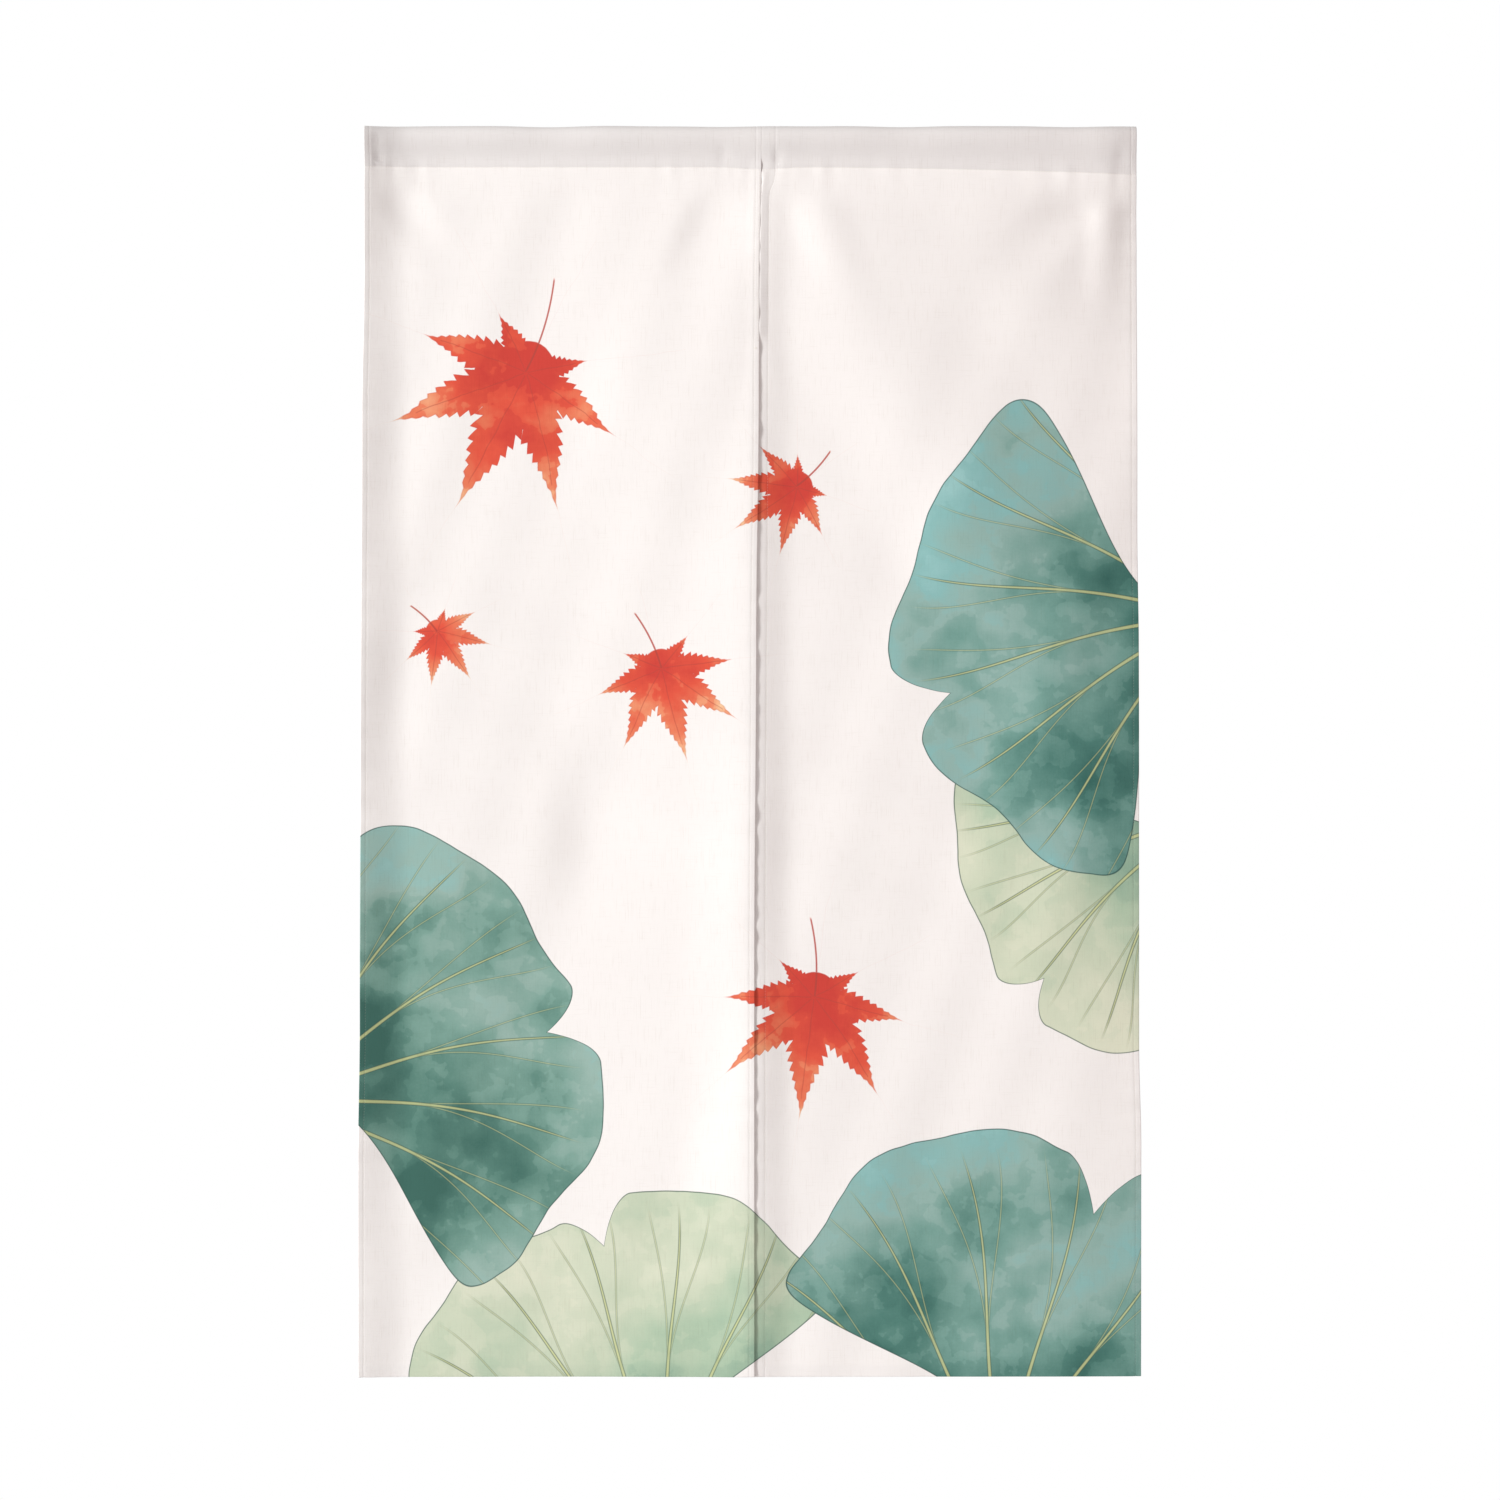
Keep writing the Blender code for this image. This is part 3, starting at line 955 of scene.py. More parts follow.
@dataclass
class Sewing:
    """The threads that show: headings, side hems, foot hems and the seam above the split."""

    drops: dict[Side, Drop]
    pitch: float = 0.0027
    length: float = 0.0020
    blind_pitch: float = 0.0075
    blind_length: float = 0.0016
    seam_inset: float = 0.0021
    tack_width: float = 0.0052
    tack_rows: int = 4
    tack_pitch: float = 0.00055
    tack_length: float = 0.0036
    measured_row: int = 6

    def column_run(self, drop: Drop, column: int, in_front: bool) -> StitchRun:
        """Stitches down one line of a drop, below its heading."""
        rows = np.arange(drop.stitch_rows["heading_front"] + 1, drop.stitch_rows["foot"] - 1)
        line = drop.grid.line(rows, np.full(rows.shape, column), in_front)
        return StitchRun(line, self.pitch, self.length)

    @staticmethod
    def row_run(drop: Drop, row: int, pitch: float, length: float, in_front: bool) -> StitchRun:
        """Stitches across one line of a drop, from fold to fold."""
        first, last = drop.columns.folds
        columns = np.arange(first + 3, last - 2)
        return StitchRun(drop.grid.line(np.full(columns.shape, row), columns, in_front), pitch, length)

    def column_at(self, drop: Drop, inset: float) -> int:
        """The front line of a drop that lies nearest this far in from its right-hand fold."""
        row, fold = drop.stitch_rows["heading_front"] + self.measured_row, drop.columns.folds[1]
        across = drop.grid.points[row, :fold, 0]
        return int(np.argmin(np.abs(across - (drop.grid.points[row, fold, 0] - inset))))

    def seam_run(self) -> StitchRun:
        """The row that joins the drops, just inside the left one's edge, down to the top of the split."""
        drop = self.drops[Side.LEFT]
        rows = np.arange(drop.stitch_rows["heading_front"] + 1, drop.stitch_rows["foot"])
        joined = rows[-drop.grid.points[rows, drop.columns.folds[1], 2] < drop.shape.joined_drop]
        line = drop.grid.line(joined, np.full(joined.shape, self.column_at(drop, self.seam_inset)), True)
        return StitchRun(line, self.pitch, self.length, 0.4 * self.pitch)

    def tack_runs(self) -> list[StitchRun]:
        """The bar tack across the seam at the top of the split."""
        drop = self.drops[Side.LEFT]
        fold = drop.columns.folds[1]
        row = int(np.argmin(np.abs(drop.grid.points[:, fold, 2] + drop.shape.joined_drop)))
        columns = np.arange(self.column_at(drop, self.tack_width), fold - 2)
        line = drop.grid.line(np.full(columns.shape, row), columns, True)
        falls = [step * self.tack_pitch for step in range(self.tack_rows)]
        return [StitchRun(line.lowered(fall), 1.1 * self.tack_length, self.tack_length) for fall in falls]

    def build(self, finish: Material) -> list[Piece]:
        """Makes one thread piece for each drop and one for the seam.

        Args:
            finish: the thread's material.

        Returns:
            The new pieces: left, right and seam.
        """
        pieces = []
        for side, drop in self.drops.items():
            runs = [self.column_run(drop, column, True) for column in drop.columns.stitched_front]
            runs += [self.column_run(drop, column, False) for column in drop.columns.stitched_back]
            rows = drop.stitch_rows
            runs.append(self.row_run(drop, rows["heading_front"], self.pitch, self.length, True))
            runs.append(self.row_run(drop, rows["heading_back"], self.pitch, self.length, False))
            runs.append(self.row_run(drop, rows["foot_back"], self.blind_pitch, self.blind_length, False))
            pieces.append(Thread(f"{side.value}_thread", runs).build(finish))
        pieces.append(Thread("seam_thread", [self.seam_run(), *self.tack_runs()]).build(finish))
        return pieces


# Wiring materials


def number_method(operation: str, turned: bool = False) -> Callable[..., "Wire"]:
    """Makes a method that adds one kind of math node.

    Args:
        operation: the node's operation.
        turned: whether the wire itself is the last number rather than the first.

    Returns:
        The method, which takes the operation's other numbers.
    """

    def method(self: "Wire", *others: Number) -> "Wire":
        """The outcome as a wire."""
        return self.board.math(operation, *((*others, self) if turned else (self, *others)))

    return method


class Wire:
    """A number in a material, which adds and multiplies as a Python number does.

    least and most are the smaller and the larger of two numbers, under is 1 below the other number and 0
    past it, and plus multiplies by its first number and adds its second.
    """

    def __init__(self, board: "Board", socket: Socket) -> None:
        """Holds a socket and the board that it is on."""
        self.board = board
        self.socket = socket

    __add__ = __radd__ = number_method("ADD")
    __sub__ = number_method("SUBTRACT")
    __rsub__ = number_method("SUBTRACT", turned=True)
    __mul__ = __rmul__ = number_method("MULTIPLY")
    __truediv__ = number_method("DIVIDE")
    __pow__ = number_method("POWER")
    __abs__ = number_method("ABSOLUTE")
    sin = number_method("SINE")
    root = number_method("SQRT")
    least = number_method("MINIMUM")
    most = number_method("MAXIMUM")
    under = number_method("LESS_THAN")
    plus = number_method("MULTIPLY_ADD")

    def between(self, low: Number, high: Number) -> "Wire":
        """A smooth 0 to 1 as this goes from low to high, or from high to low if they are given so."""
        falls = isinstance(low, float) and isinstance(high, float) and low > high
        limits = (high, low, 1.0, 0.0) if falls else (low, high)
        made = self.board.node("ShaderNodeMapRange", self, *limits, interpolation_type="SMOOTHSTEP")
        return Wire(self.board, made.outputs["Result"])


class Board:
    """A node tree that is being wired."""

    def __init__(self, tree: bpy.types.NodeTree) -> None:
        """Starts on an existing tree."""
        self.tree = tree

    def node(self, kind: str, *values: object, **settings: object) -> Node:
        """Adds a node.

        Args:
            kind: the node's type.
            values: what goes into its inputs, in their order; None leaves one as it is.
            settings: its properties.

        Returns:
            The node.
        """
        made = self.tree.nodes.new(kind)
        for name, value in settings.items():
            setattr(made, name, value)
        for socket, value in zip(made.inputs, values):
            if value is not None:
                self.feed(socket, value)
        return made

    def feed(self, socket: Socket, value: object) -> None:
        """Links a wire or a socket to an input, or sets its value."""
        if isinstance(value, Wire):
            self.tree.links.new(value.socket, socket)
        elif isinstance(value, Socket):
            self.tree.links.new(value, socket)
        else:
            socket.default_value = value

    def math(self, operation: str, *values: Number) -> Wire:
        """Adds a math node."""
        return Wire(self, self.node("ShaderNodeMath", *values, operation=operation).outputs[0])

    def parts(self, vector: Socket) -> list[Wire]:
        """Takes a vector apart into its three numbers."""
        return [Wire(self, output) for output in self.node("ShaderNodeSeparateXYZ", vector).outputs]

    def vector(self, x: Number, y: Number) -> Socket:
        """Joins two numbers into a flat vector."""
        return self.node("ShaderNodeCombineXYZ", x, y, 0.0).outputs[0]

    def noise(self, place: Socket, scale: float, detail: float, rough: float = 0.5) -> Wire:
        """Adds a cloudy noise from about 0 to 1."""
        made = self.node("ShaderNodeTexNoise", place, None, scale, detail, rough, noise_dimensions="3D")
        return Wire(self, made.outputs["Fac"])

    def attribute(self, name: str, output: str) -> Socket:
        """Reads what the mesh says at each point under this name."""
        return self.node("ShaderNodeAttribute", attribute_name=name).outputs[output]

    def ramp(self, value: Wire, stops: Sequence[tuple[float, Colour]]) -> Socket:
        """Adds a colour ramp with these stops."""
        made = self.node("ShaderNodeValToRGB", value)
        elements = made.color_ramp.elements
        while len(elements) < len(stops):
            elements.new(1.0)
        for element, (place, colour) in zip(elements, stops):
            element.position = place
            element.color = colour
        return made.outputs["Color"]

    def blend(self, share: Number, first: object, second: object, kind: str = "MIX") -> Socket:
        """Blends two colours; share is how much of the second shows."""
        values = (share, *[None] * 5, first, second)
        return self.node("ShaderNodeMix", *values, data_type="RGBA", blend_type=kind).outputs[2]


class Group:
    """A reusable part of a material, made once as a node group."""

    def __init__(self, name: str, takes: Sequence[str], gives: Sequence[tuple[str, str]]) -> None:
        """Makes the group's tree with number inputs and the named outputs."""
        self.tree = bpy.data.node_groups.new(name, "ShaderNodeTree")
        for title in takes:
            self.tree.interface.new_socket(title, in_out="INPUT", socket_type="NodeSocketFloat")
        for title, kind in gives:
            self.tree.interface.new_socket(title, in_out="OUTPUT", socket_type=kind)
        self.board = Board(self.tree)
        self.start = self.board.node("NodeGroupInput")
        self.end = self.board.node("NodeGroupOutput")

    def taken(self, titles: Sequence[str]) -> list[Wire]:
        """The group's inputs, in the order of these titles."""
        return [Wire(self.board, self.start.outputs[title]) for title in titles]

    def give(self, *values: object) -> None:
        """Sends a value to each of the group's outputs, in their order."""
        for socket, value in zip(self.end.inputs, values):
            self.board.feed(socket, value)

    def use(self, board: Board, **values: Number) -> Node:
        """Puts the group on another board."""
        made = board.node("ShaderNodeGroup", node_tree=self.tree)
        for title, value in values.items():
            board.feed(made.inputs[title], value)
        return made


# The print


@dataclass(frozen=True)
class Placed:
    """Where a leaf is printed: its root, the way it points in degrees from right, length, tone and turn."""

    across: float
    drop: float
    points: float
    length: float
    tone: float
    turn: float


@dataclass(frozen=True)
class LeafLayer:
    """Leaves of one kind that don't lie over one another, so that the shader works out one for each place."""

    leaves: tuple[Placed, ...]
    middle: float
    reach: float

    def choose(self, board: Board, across: Wire, along: Wire) -> dict[str, Wire]:
        """Finds which leaf a place belongs to, and where on that leaf it lies.

        Args:
            board: the tree to wire.
            across, along: the place on the print, in metres, along being upward.

        Returns:
            The place along and beside the leaf's axis in leaf lengths, and the leaf's length, tone, turn
            and presence.
        """
        sums: dict[str, Wire] = {}
        for leaf in self.leaves:
            angle = math.radians(leaf.points)
            east, north = math.cos(angle), math.sin(angle)
            middle_x = leaf.across + east * leaf.length * self.middle
            middle_y = -leaf.drop + north * leaf.length * self.middle
            from_x, from_y = across - middle_x, along - middle_y
            reach = self.reach * leaf.length
            here = from_x.plus(from_x, from_y * from_y).under(reach * reach)
            values = {
                "east": east,
                "north": north,
                "root x": leaf.across,
                "root y": -leaf.drop,
                "length": leaf.length,
                "tone": leaf.tone,
                "turn": leaf.turn,
                "here": 1.0,
            }
            for key, value in values.items():
                sums[key] = here.plus(value, sums[key]) if key in sums else here * value
        size = sums["length"].most(0.001)
        from_x, from_y = across - sums["root x"], along - sums["root y"]
        ahead = from_x.plus(sums["east"], from_y * sums["north"]) / size
        beside = from_y.plus(sums["east"], from_x * sums["north"] * -1.0) / size
        return {"Ahead": ahead, "Beside": beside, "Size": size} | {
            name.title(): sums[name] for name in ("tone", "turn", "here")
        }


LEAF_INPUTS = ("Ahead", "Beside", "Size", "Tone", "Turn", "Here", "Cloud", "Blot", "Grain")
LEAF_OUTPUTS = (("Colour", "NodeSocketColor"), ("Cover", "NodeSocketFloat"))


@dataclass(frozen=True)
class WashMix:
    """How much the way out from the root, the clouds, the blots and the grain each change a leaf's wash."""

    reach: float
    cloud: float
    blot: float
    grain: float


@dataclass(frozen=True)
class GinkgoFan:
    """A fan leaf in watercolour: wavy margin, notch, washes with soft blooms and forked, lined veins."""

    half_spread: float = 1.08
    corner: float = 0.12
    broad_waves: tuple[float, float] = (6.0, 0.030)
    fine_waves: tuple[float, float] = (14.0, 0.012)
    fine_turn: float = 2.3
    notch_shift: float = 0.12
    notch_slope: float = 7.5
    notch_sharpness: float = 1.7
    notch_depth: float = 0.15
    shoulder_fall: float = 0.11
    raggedness: float = 0.05
    veins: float = 6.0
    vein_sway: tuple[float, float] = (4.2, 0.055)
    vein_root: float = 0.0017
    vein_tip: float = 0.0005
    vein_softness: float = 0.0003
    vein_side: tuple[float, float] = (0.0008, 0.0002)
    vein_start: tuple[float, float] = (0.08, 0.20)
    vein_stop: tuple[float, float] = (0.97, 0.84)
    fork_run: tuple[float, float] = (0.34, 0.95)
    fork_spread: float = 0.30
    fork_start: tuple[float, float] = (0.40, 0.50)
    fork_fill: tuple[float, float] = (0.0008, 0.0003)
    fork_width: float = 0.0007
    fork_side: tuple[float, float] = (0.0007, 0.0002)
    fork_strengths: tuple[float, float] = (0.60, 0.55)
    rim: tuple[float, float] = (-0.0002, 0.0005)
    outline: float = 0.0010
    mix: WashMix = WashMix(reach=0.62, cloud=1.05, blot=0.26, grain=0.06)
    streak_turns: tuple[float, float] = (1.6, 1.7)
    streaks: float = 0.12
    bloom_edge: tuple[float, float] = (0.520, 0.534)
    bloom: float = 0.045
    pool_edge: tuple[float, float] = (0.452, 0.440)
    pool: float = 0.035
    fill_strength: float = 0.72
    side_strength: float = 0.60
    outline_strength: float = 0.80
    washes: tuple[tuple[float, Colour], ...] = (
        (0.06, shade(44, 94, 86)),
        (0.24, shade(78, 126, 116)),
        (0.42, shade(116, 158, 148)),
        (0.58, shade(146, 178, 170)),
        (0.74, shade(136, 184, 181)),
        (0.95, shade(158, 201, 199)),
    )
    pale_washes: tuple[tuple[float, Colour], ...] = (
        (0.10, shade(138, 172, 150)),
        (0.34, shade(178, 199, 172)),
        (0.58, shade(206, 214, 188)),
        (0.84, shade(226, 226, 202)),
    )
    ink: Colour = shade(54, 84, 78)
    vein_fill: Colour = shade(205, 208, 146)

    def group(self) -> Group:
        """Makes the node group that draws the leaf."""
        group = Group("ginkgo fan", LEAF_INPUTS, LEAF_OUTPUTS)
        board = group.board
        ahead, beside, size, tone, turn, here, cloud, blot, grain = group.taken(LEAF_INPUTS)
        reach = ahead.plus(ahead, beside * beside).root()
        angle = board.math("ARCTAN2", beside, ahead)
        inside = self.outline_of(board, reach, angle, turn, cloud) * size
        cover = inside.between(*self.rim) * here
        mix = self.mix
        wash = reach * mix.reach + (cloud - 0.5) * mix.cloud + (blot - 0.5) * mix.blot
        wash = wash + (angle * self.streak_turns[0] + turn * self.streak_turns[1]).sin() * self.streaks
        wash = wash + blot.between(*self.bloom_edge) * self.bloom
        wash = wash - cloud.between(*self.pool_edge) * self.pool
        wash = wash + (grain - 0.5) * mix.grain
        colour = board.blend(tone, board.ramp(wash, self.washes), board.ramp(wash, self.pale_washes))
        fill, sides = self.veins_of(board, reach, angle, turn, size)
        colour = board.blend(fill * self.fill_strength, colour, self.vein_fill)
        colour = board.blend(sides * self.side_strength, colour, self.ink)
        line = abs(inside - 0.5 * self.outline).between(self.outline, 0.35 * self.outline)
        colour = board.blend(line * self.outline_strength, colour, self.ink)
        group.give(colour, cover)
        return group

    def outline_of(self, board: Board, reach: Wire, angle: Wire, turn: Wire, cloud: Wire) -> Wire:
        """How far inside the leaf a place lies, in leaf lengths; the leaf's flanks are hollow."""
        (broad, rise), (fine, small_rise) = self.broad_waves, self.fine_waves
        waves = (angle * broad + turn).sin() * rise
        waves = waves + (angle * fine + turn * self.fine_turn).sin() * small_rise
        off_notch = abs(angle - (turn.sin() * self.notch_shift)) * -self.notch_slope + 1.0
        notch = off_notch.most(0.0) ** self.notch_sharpness * self.notch_depth
        margin = (angle * angle) * -self.shoulder_fall + 1.0 + waves - notch
        margin = margin + (cloud - 0.5) * self.raggedness
        narrow = 1.0 - reach.least(1.0)
        spread = (1.0 - narrow * narrow * narrow) * self.half_spread
        return board.math("SMOOTH_MIN", margin - reach, (spread - abs(angle)) * reach, self.corner)

    def veins_of(self, board: Board, reach: Wire, angle: Wire, turn: Wire, size: Wire) -> tuple[Wire, Wire]:
        """The pale fill and the dark sides of the veins, each of which forks in three half-way out."""
        lanes = self.veins / (2 * self.half_spread)
        sway = angle + (reach * self.vein_sway[0] + turn).sin() * self.vein_sway[1]
        lane = board.math("PINGPONG", sway * lanes, 0.5)
        narrow = reach * size * (1 / lanes)
        branch = abs(lane - reach.between(*self.fork_run) * self.fork_spread)
        shown = reach.between(*self.vein_stop)
        width = (1.0 - reach) * self.vein_root + self.vein_tip
        main_in = reach.between(*self.vein_start) * shown
        main_off, branch_off = lane * narrow, branch * narrow
        fill = main_off.between(width + self.vein_softness, width - self.vein_softness) * main_in
        sides = abs(main_off - width).between(*self.vein_side) * main_in
        branch_in = reach.between(*self.fork_start) * shown
        branch_fill = branch_off.between(*self.fork_fill) * branch_in
        branch_sides = abs(branch_off - self.fork_width).between(*self.fork_side) * branch_in
        fill_share, side_share = self.fork_strengths
        return fill.most(branch_fill * fill_share), sides.most(branch_sides * side_share)


@dataclass(frozen=True)
class Lobe:
    """A pointed lobe of a maple leaf: its angle from the middle one in degrees, length and breadth."""

    angle: float
    length: float
    breadth: float


@dataclass(frozen=True)
class MapleLeaf:
    """A small maple leaf in watercolour: pointed, toothed lobes, fine veins, a thin stalk.

    Along its length x a lobe is as broad as x (1 - x) (1 - x), and peak brings that curve's top to 1.
    """

    lobes: tuple[Lobe, ...] = (
        Lobe(0.0, 1.00, 0.150),
        Lobe(41.0, 0.93, 0.140),
        Lobe(82.0, 0.72, 0.115),
        Lobe(126.0, 0.42, 0.075),
    )
    pad: float = 0.20
    peak: float = 27 / 4
    tip_breadth: float = 0.05
    teeth: float = 10.0
    tooth_lean: float = 1.3
    tooth_depth: float = 0.62
    tooth_floor: float = 0.76
    stalk: float = 0.62
    stalk_bend: float = 0.32
    stalk_line: tuple[float, float] = (0.0012, 0.0005)
    stalk_root: tuple[float, float] = (0.02, -0.02)
    stalk_fade: float = 0.03
    stalk_cover: float = 0.90
    leaf_cover: float = 0.96
    unevenness: tuple[float, float] = (0.05, 0.16)
    mix: WashMix = WashMix(reach=0.74, cloud=0.60, blot=0.75, grain=0.05)
    bloom_edge: tuple[float, float] = (0.540, 0.555)
    bloom: float = 0.10
    rim: tuple[float, float] = (-0.0003, 0.0009)
    dark_rim: tuple[float, float] = (0.0024, 0.0004)
    vein_line: tuple[float, float] = (0.0008, 0.0002)
    vein_stop: tuple[float, float] = (0.92, 0.70)
    lobe_tip: tuple[float, float] = (0.80, 0.95)
    lobe_root: tuple[float, float] = (0.02, -0.02)
    past_tip: float = 0.2
    past_root: float = 0.5
    rim_strength: float = 0.25
    vein_strength: float = 0.45
    stalk_strength: float = 0.85
    washes: tuple[tuple[float, Colour], ...] = (
        (0.05, shade(206, 42, 22)),
        (0.30, shade(224, 70, 38)),
        (0.52, shade(231, 116, 76)),
        (0.72, shade(239, 162, 118)),
        (0.92, shade(247, 219, 172)),
    )
    ink: Colour = shade(176, 48, 32)

    def group(self) -> Group:
        """Makes the node group that draws the leaf."""
        group = Group("maple leaf", LEAF_INPUTS, LEAF_OUTPUTS)
        board = group.board
        straight, aside, size, tone, turn, here, cloud, blot, grain = group.taken(LEAF_INPUTS)
        ahead = straight + (blot - 0.5) * self.unevenness[0]
        beside = aside + (cloud - 0.5) * self.unevenness[1]
        reach = ahead.plus(ahead, beside * beside).root()
        body, vein = self.lobes_of(board, ahead, abs(beside), reach, turn)
        body = body * size
        off_stalk = abs(aside + straight * straight * self.stalk_bend) * size
        on_stalk = straight.between(*self.stalk_root)
        on_stalk = on_stalk * straight.between(-self.stalk, self.stalk_fade - self.stalk)
        stalk = off_stalk.between(*self.stalk_line) * on_stalk
        cover = body.between(*self.rim).most(stalk * self.stalk_cover) * here
        mix = self.mix
        wash = reach * mix.reach + (cloud - 0.5) * mix.cloud + (blot - 0.5) * mix.blot
        wash = wash + (grain - 0.5) * mix.grain + tone
        colour = board.ramp(wash + blot.between(*self.bloom_edge) * self.bloom, self.washes)
        lines = (vein * size).between(*self.vein_line) * reach.between(*self.vein_stop)
        colour = board.blend(body.between(*self.dark_rim) * self.rim_strength, colour, self.ink)
        colour = board.blend(lines * self.vein_strength, colour, self.ink)
        colour = board.blend(stalk * self.stalk_strength, colour, self.ink)
        group.give(colour, cover * self.leaf_cover)
        return group

    def lobes_of(
        self, board: Board, ahead: Wire, mirrored: Wire, reach: Wire, turn: Wire
    ) -> tuple[Wire, Wire]:
        """How far inside the leaf a place lies and how far off the nearest vein, in leaf lengths."""
        inside, vein = self.pad - reach, reach + 1.0
        for lobe in self.lobes:
            east, north = math.cos(math.radians(lobe.angle)), math.sin(math.radians(lobe.angle))
            along = (ahead * east + mirrored * north) * (1 / lobe.length)
            off = abs(mirrored * east - ahead * north)
            left = (1.0 - along).most(0.0)
            full = along.most(0.0) * left * (left * (self.peak * lobe.breadth) + self.tip_breadth)
            tooth = board.math("PINGPONG", (along - off * self.tooth_lean) * self.teeth + turn, 0.5)
            tooth = tooth * self.tooth_depth + self.tooth_floor
            inside = inside.most(full * tooth - off)
            off = off + along.between(*self.lobe_tip) * self.past_tip
            vein = vein.least(off + along.between(*self.lobe_root) * self.past_root)
        return inside, vein


@dataclass
class LeafPrint:
    """The whole design: fans behind, fans in front and maple leaves that drift between them."""

    behind: LeafLayer = LeafLayer(
        (
            Placed(0.435, 0.660, 222.0, 0.250, 0.96, 0.6),
            Placed(-0.075, 1.310, 112.0, 0.290, 0.92, 4.4),
        ),
        middle=0.52,
        reach=0.82,
    )
    before: LeafLayer = LeafLayer(
        (
            Placed(0.440, 0.470, 190.0, 0.300, 0.00, 1.3),
            Placed(-0.445, 0.930, 14.0, 0.300, 0.10, 3.2),
            Placed(0.245, 1.300, 78.0, 0.335, 0.02, 5.1),
        ),
        middle=0.52,
        reach=0.82,
    )
    drifting: LeafLayer = LeafLayer(
        (
            Placed(-0.215, 0.235, 242.0, 0.150, -0.04, 0.7),
            Placed(-0.085, 0.520, 285.0, 0.095, 0.06, 2.9),
            Placed(0.045, 0.345, 215.0, 0.075, 0.04, 4.1),
            Placed(0.062, 0.835, 262.0, 0.122, -0.02, 1.9),
            Placed(-0.300, 0.485, 305.0, 0.058, 0.10, 5.3),
        ),
        middle=0.22,
        reach=1.17,
    )
    clouds: tuple[tuple[str, tuple[float, float, float]], ...] = (
        ("Cloud", (7.5, 3.0, 0.55)),
        ("Blot", (24.0, 3.5, 0.6)),
        ("Grain", (420.0, 2.0, 0.6)),
    )
    fan: Group = field(init=False)
    maple: Group = field(init=False)

    def __post_init__(self) -> None:
        """Makes the leaves' node groups."""
        self.fan = GinkgoFan().group()
        self.maple = MapleLeaf().group()

    def draw(self, board: Board, place: Socket, ground: object) -> Socket:
        """Prints the design over a ground colour.

        Args:
            board: the cloth's or the thread's tree.
            place: where the point lies on the print.
            ground: the unprinted colour.

        Returns:
            The printed colour.
        """
        across, along, _ = board.parts(place)
        flat = board.vector(across, along)
        clouds = {name: board.noise(flat, *settings) for name, settings in self.clouds}
        colour = ground
        for layer, leaf in ((self.behind, self.fan), (self.before, self.fan), (self.drifting, self.maple)):
            drawn = leaf.use(board, **layer.choose(board, across, along), **clouds)
            colour = board.blend(drawn.outputs["Cover"], colour, drawn.outputs["Colour"])
        return colour


# Finishes


def fresh_material(name: str, **settings: float) -> tuple[Material, Board, Node]:
    """Makes a node material.

    Args:
        name: the material's name.
        settings: the shader's plain numbers, by their names with _ for a space.

    Returns:
        The material, its board and its Principled BSDF.
    """
    material = bpy.data.materials.new(name)
    material.use_nodes = True
    shader = material.node_tree.nodes["Principled BSDF"]
    for title, value in settings.items():
        shader.inputs[title.replace("_", " ")].default_value = value
    return material, Board(material.node_tree), shader


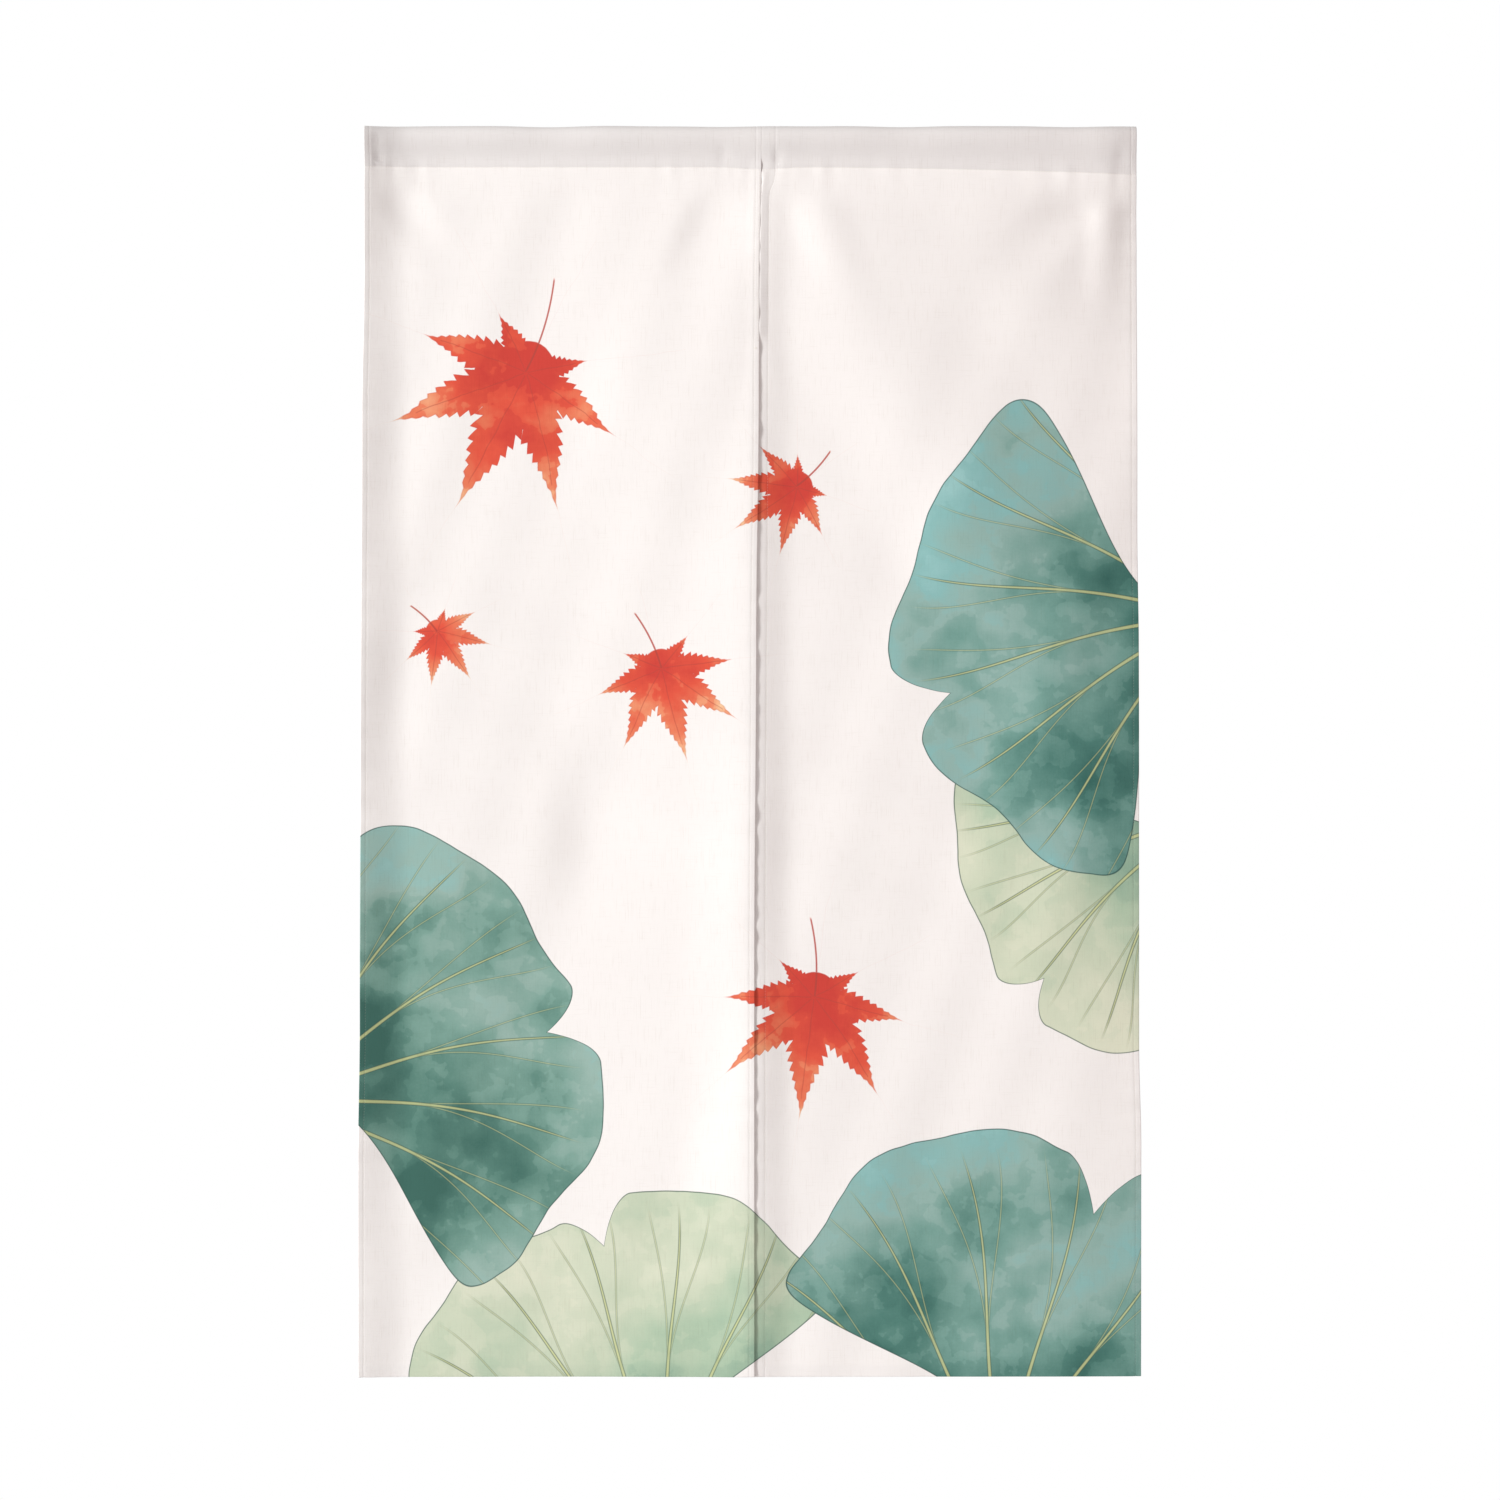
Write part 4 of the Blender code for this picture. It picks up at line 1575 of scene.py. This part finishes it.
@dataclass(frozen=True)
class LinenLook:
    """The printed cloth: a plain weave with slubs, paler print on its reverse, and painted shade where its
    layers lie on one another.
    """

    ground: Colour = shade(246, 241, 238)
    reverse: Colour = shade(240, 235, 230)
    # Painted shade: the grey multiplied in where the cloth is layered, standing in for the light that shines
    # through less there.
    layered_cloth_shade: Colour = shade(239, 239, 240)
    slub: Colour = shade(216, 209, 201)
    slub_strength: float = 0.30
    print_through: float = 0.22
    yarn: float = 0.00062
    roughness: float = 0.88
    specular: float = 0.25
    sheen: float = 0.08
    sheen_roughness: float = 0.45
    bump: float = 0.00006
    bump_strength: float = 0.8
    yarn_noise: tuple[float, float, float] = (1.0, 2.0, 0.6)
    upright_scale: tuple[float, float] = (1100.0, 42.0)
    level_scale: tuple[float, float] = (46.0, 1000.0)
    upright_slubs: tuple[float, float] = (0.52, 0.74)
    level_slubs: tuple[float, float] = (0.54, 0.76)
    upright_share: float = 0.62
    yarn_drift: float = 3.0
    crossing_height: float = 0.35
    upright_height: float = 0.9
    level_height: float = 0.7

    def weave(self, board: Board, place: Socket) -> tuple[Wire, Wire]:
        """Works out the weave.

        Args:
            board: the cloth's tree.
            place: where the point lies on the cloth.

        Returns:
            The slubs, from 0 to 1, and the height of the yarns in metres.
        """
        across, along, _ = board.parts(place)
        upright, level = (
            board.noise(board.vector(across * aside, along * down), *self.yarn_noise)
            for aside, down in (self.upright_scale, self.level_scale)
        )
        warp = (across * (math.tau / self.yarn) + upright * self.yarn_drift).sin()
        weft = (along * (math.tau / self.yarn) + level * self.yarn_drift).sin()
        slubs = upright.between(*self.upright_slubs) * self.upright_share
        slubs = slubs + level.between(*self.level_slubs) * (1 - self.upright_share)
        height = warp * weft * self.crossing_height
        height = height + upright * self.upright_height + level * self.level_height
        return slubs, height * self.bump

    def make(self, design: LeafPrint) -> Material:
        """Makes the material.

        Args:
            design: the print.

        Returns:
            The cloth's material.
        """
        material, board, shader = fresh_material(
            "printed cloth",
            Roughness=self.roughness,
            Specular_IOR_Level=self.specular,
            Sheen_Weight=self.sheen,
            Sheen_Roughness=self.sheen_roughness,
        )
        place = board.attribute("print_place", "Vector")
        layers = board.attribute("layers", "Fac")
        slubs, height = self.weave(board, place)
        colour = design.draw(board, place, self.ground)
        through = board.blend(self.print_through, self.reverse, colour)
        colour = board.blend(board.parts(place)[2], through, colour)
        # Painted shade: darkens the heading and hems by the layers attribute, for the light that shines
        # through less there.
        colour = board.blend(layers, colour, self.layered_cloth_shade, "MULTIPLY")
        colour = board.blend(slubs * self.slub_strength, colour, self.slub, "MULTIPLY")
        board.feed(shader.inputs["Base Color"], colour)
        bump = board.node("ShaderNodeBump")
        bump.inputs["Strength"].default_value = self.bump_strength
        bump.inputs["Distance"].default_value = 1.0
        board.feed(bump.inputs["Height"], height)
        board.feed(shader.inputs["Normal"], bump.outputs["Normal"])
        return material


@dataclass(frozen=True)
class SewingThread:
    """Spun off-white thread that takes the print with the cloth, with its twist."""

    pale: Colour = shade(243, 238, 231)
    dark: Colour = shade(214, 207, 198)
    taken: float = 0.85
    twist: float = 0.00045
    twist_strength: float = 0.35
    roughness: float = 0.7
    sheen: float = 0.1

    def make(self, design: LeafPrint) -> Material:
        """Makes the thread's material.

        Args:
            design: the print.

        Returns:
            The thread's material.
        """
        settings = {"Roughness": self.roughness, "Sheen_Weight": self.sheen}
        material, board, shader = fresh_material("sewing thread", **settings)
        place = board.attribute("print_place", "Vector")
        printed = design.draw(board, place, self.pale)
        colour = board.blend(board.parts(place)[2] * self.taken, self.pale, printed)
        x, y, z = board.parts(board.node("ShaderNodeTexCoord").outputs["Object"])
        twist = ((x + y + z) * (math.tau / self.twist)).sin() * 0.5 + 0.5
        colour = board.blend(twist * self.twist_strength, colour, self.dark, "MULTIPLY")
        board.feed(shader.inputs["Base Color"], colour)
        return material


@dataclass(frozen=True)
class StudioFloor:
    """A plain pale floor with a faint mottle."""

    pale: Colour = (0.86, 0.86, 0.86, 1.0)
    dark: Colour = (0.80, 0.80, 0.80, 1.0)
    mottle_scale: float = 2.0
    mottle_detail: float = 3.0
    roughness: float = 0.9

    def make(self) -> Material:
        """Makes the floor's material."""
        material, board, shader = fresh_material("studio floor", Roughness=self.roughness)
        place = board.node("ShaderNodeTexCoord").outputs["Object"]
        mottle = board.noise(place, self.mottle_scale, self.mottle_detail)
        board.feed(shader.inputs["Base Color"], board.blend(mottle, self.pale, self.dark))
        return material


# The studio


@dataclass(frozen=True)
class Lamp:
    """A round soft lamp that faces the curtain's middle, its width in metres, its power and its colour."""

    name: str
    comes_from: tuple[float, float, float]
    distance: float
    width: float
    watts: float
    colour: tuple[float, float, float] = (1.0, 1.0, 1.0)


@dataclass(frozen=True)
class Studio:
    """Floor, lamps, white surroundings and the camera, straight in front as in the photograph."""

    middle_drop: float = 0.5986
    view_width: float = 1.44
    distance: float = 6.0
    sensor: float = 36.0
    floor_drop: float = 2.0
    floor_width: float = 7.0
    surround: float = 0.335
    surround_colour: Colour = (1.025, 1.0, 0.990, 1.0)
    lamps: tuple[Lamp, ...] = (
        Lamp("key_lamp", (-0.86, -0.48, 0.25), 9.0, 2.0, 872.0, (0.975, 1.0, 1.0)),
        Lamp("fill_lamp", (0.35, -1.00, 0.90), 8.0, 6.0, 34.0),
        Lamp("warm_lamp", (0.61, -0.76, 0.20), 2.2, 1.6, 2.6, (1.0, 0.30, 0.25)),
        Lamp("back_lamp", (0.50, 1.00, 0.45), 6.0, 5.0, 170.0),
    )

    def build(self) -> None:
        """Makes everything around the curtain."""
        self.lay_floor()
        self.light()
        self.aim_camera()

    def lay_floor(self) -> None:
        """Makes the floor, well below the curtain, which hangs in a doorway."""
        half = self.floor_width / 2
        mesh = bpy.data.meshes.new("floor")
        corners = [(-half, -half, 0), (half, -half, 0), (half, half, 0), (-half, half, 0)]
        mesh.from_pydata(corners, [], [(0, 1, 2, 3)])
        mesh.materials.append(StudioFloor().make())
        floor = put_in_scene("floor", mesh)
        floor.location.z = -self.floor_drop

    def light(self) -> None:
        """Sets up the lamps and makes the surroundings white."""
        for lamp in self.lamps:
            light = bpy.data.lights.new(lamp.name, "AREA")
            light.shape = "DISK"
            light.size = lamp.width
            light.energy = lamp.watts
            light.color = lamp.colour
            thing = put_in_scene(lamp.name, light)
            way = Vector(lamp.comes_from)
            thing.location = Vector((0.0, 0.0, -self.middle_drop)) + way.normalized() * lamp.distance
            thing.rotation_euler = way.to_track_quat("Z", "Y").to_euler()
        world = bpy.data.worlds.new("surroundings")
        world.use_nodes = True
        board = Board(world.node_tree)
        seen = board.node("ShaderNodeLightPath").outputs["Is Camera Ray"]
        backdrop = world.node_tree.nodes["Background"]
        board.feed(backdrop.inputs["Color"], board.blend(seen, self.surround_colour, (1.0, 1.0, 1.0, 1.0)))
        strength = Wire(board, seen) * (1.0 - self.surround) + self.surround
        board.feed(backdrop.inputs["Strength"], strength)
        bpy.context.scene.world = world
        bpy.context.scene.view_settings.view_transform = "Standard"

    def aim_camera(self) -> None:
        """Puts the camera straight in front, at the photograph's width of view."""
        lens = bpy.data.cameras.new("camera")
        lens.sensor_width = self.sensor
        lens.lens = self.sensor * self.distance / self.view_width
        camera = put_in_scene("camera", lens)
        camera.location = (0.0, -self.distance, -self.middle_drop)
        camera.rotation_euler = (math.pi / 2, 0.0, 0.0)
        bpy.context.scene.camera = camera


def report(pieces: Sequence[Piece]) -> None:
    """Logs each piece with its size and number of faces."""
    for piece in pieces:
        faces = len(piece.data.polygons)
        LOG.info("%s: %.3f x %.3f x %.3f m, %d faces", piece.name, *piece.dimensions, faces)


def main() -> None:
    """Builds the curtain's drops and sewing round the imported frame, then the studio."""
    logging.basicConfig(level=logging.INFO, format="%(name)s: %(message)s")
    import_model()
    shape = HungShape()
    design = LeafPrint()
    cloth = LinenLook().make(design)
    drops = {side: Drop(side, shape) for side in Side}
    hung = {side: drop.build(cloth) for side, drop in drops.items()}
    left_thread, right_thread, seam_thread = Sewing(drops).build(SewingThread().make(design))
    for side, drop in drops.items():
        LOG.info("%s is cut %.3f x %.3f m", drop.name, *drop.flat_size())
        drop.flat_size()
    report([*hung.values(), left_thread, right_thread, seam_thread])
    Studio().build()


if __name__ == "__main__":
    main()
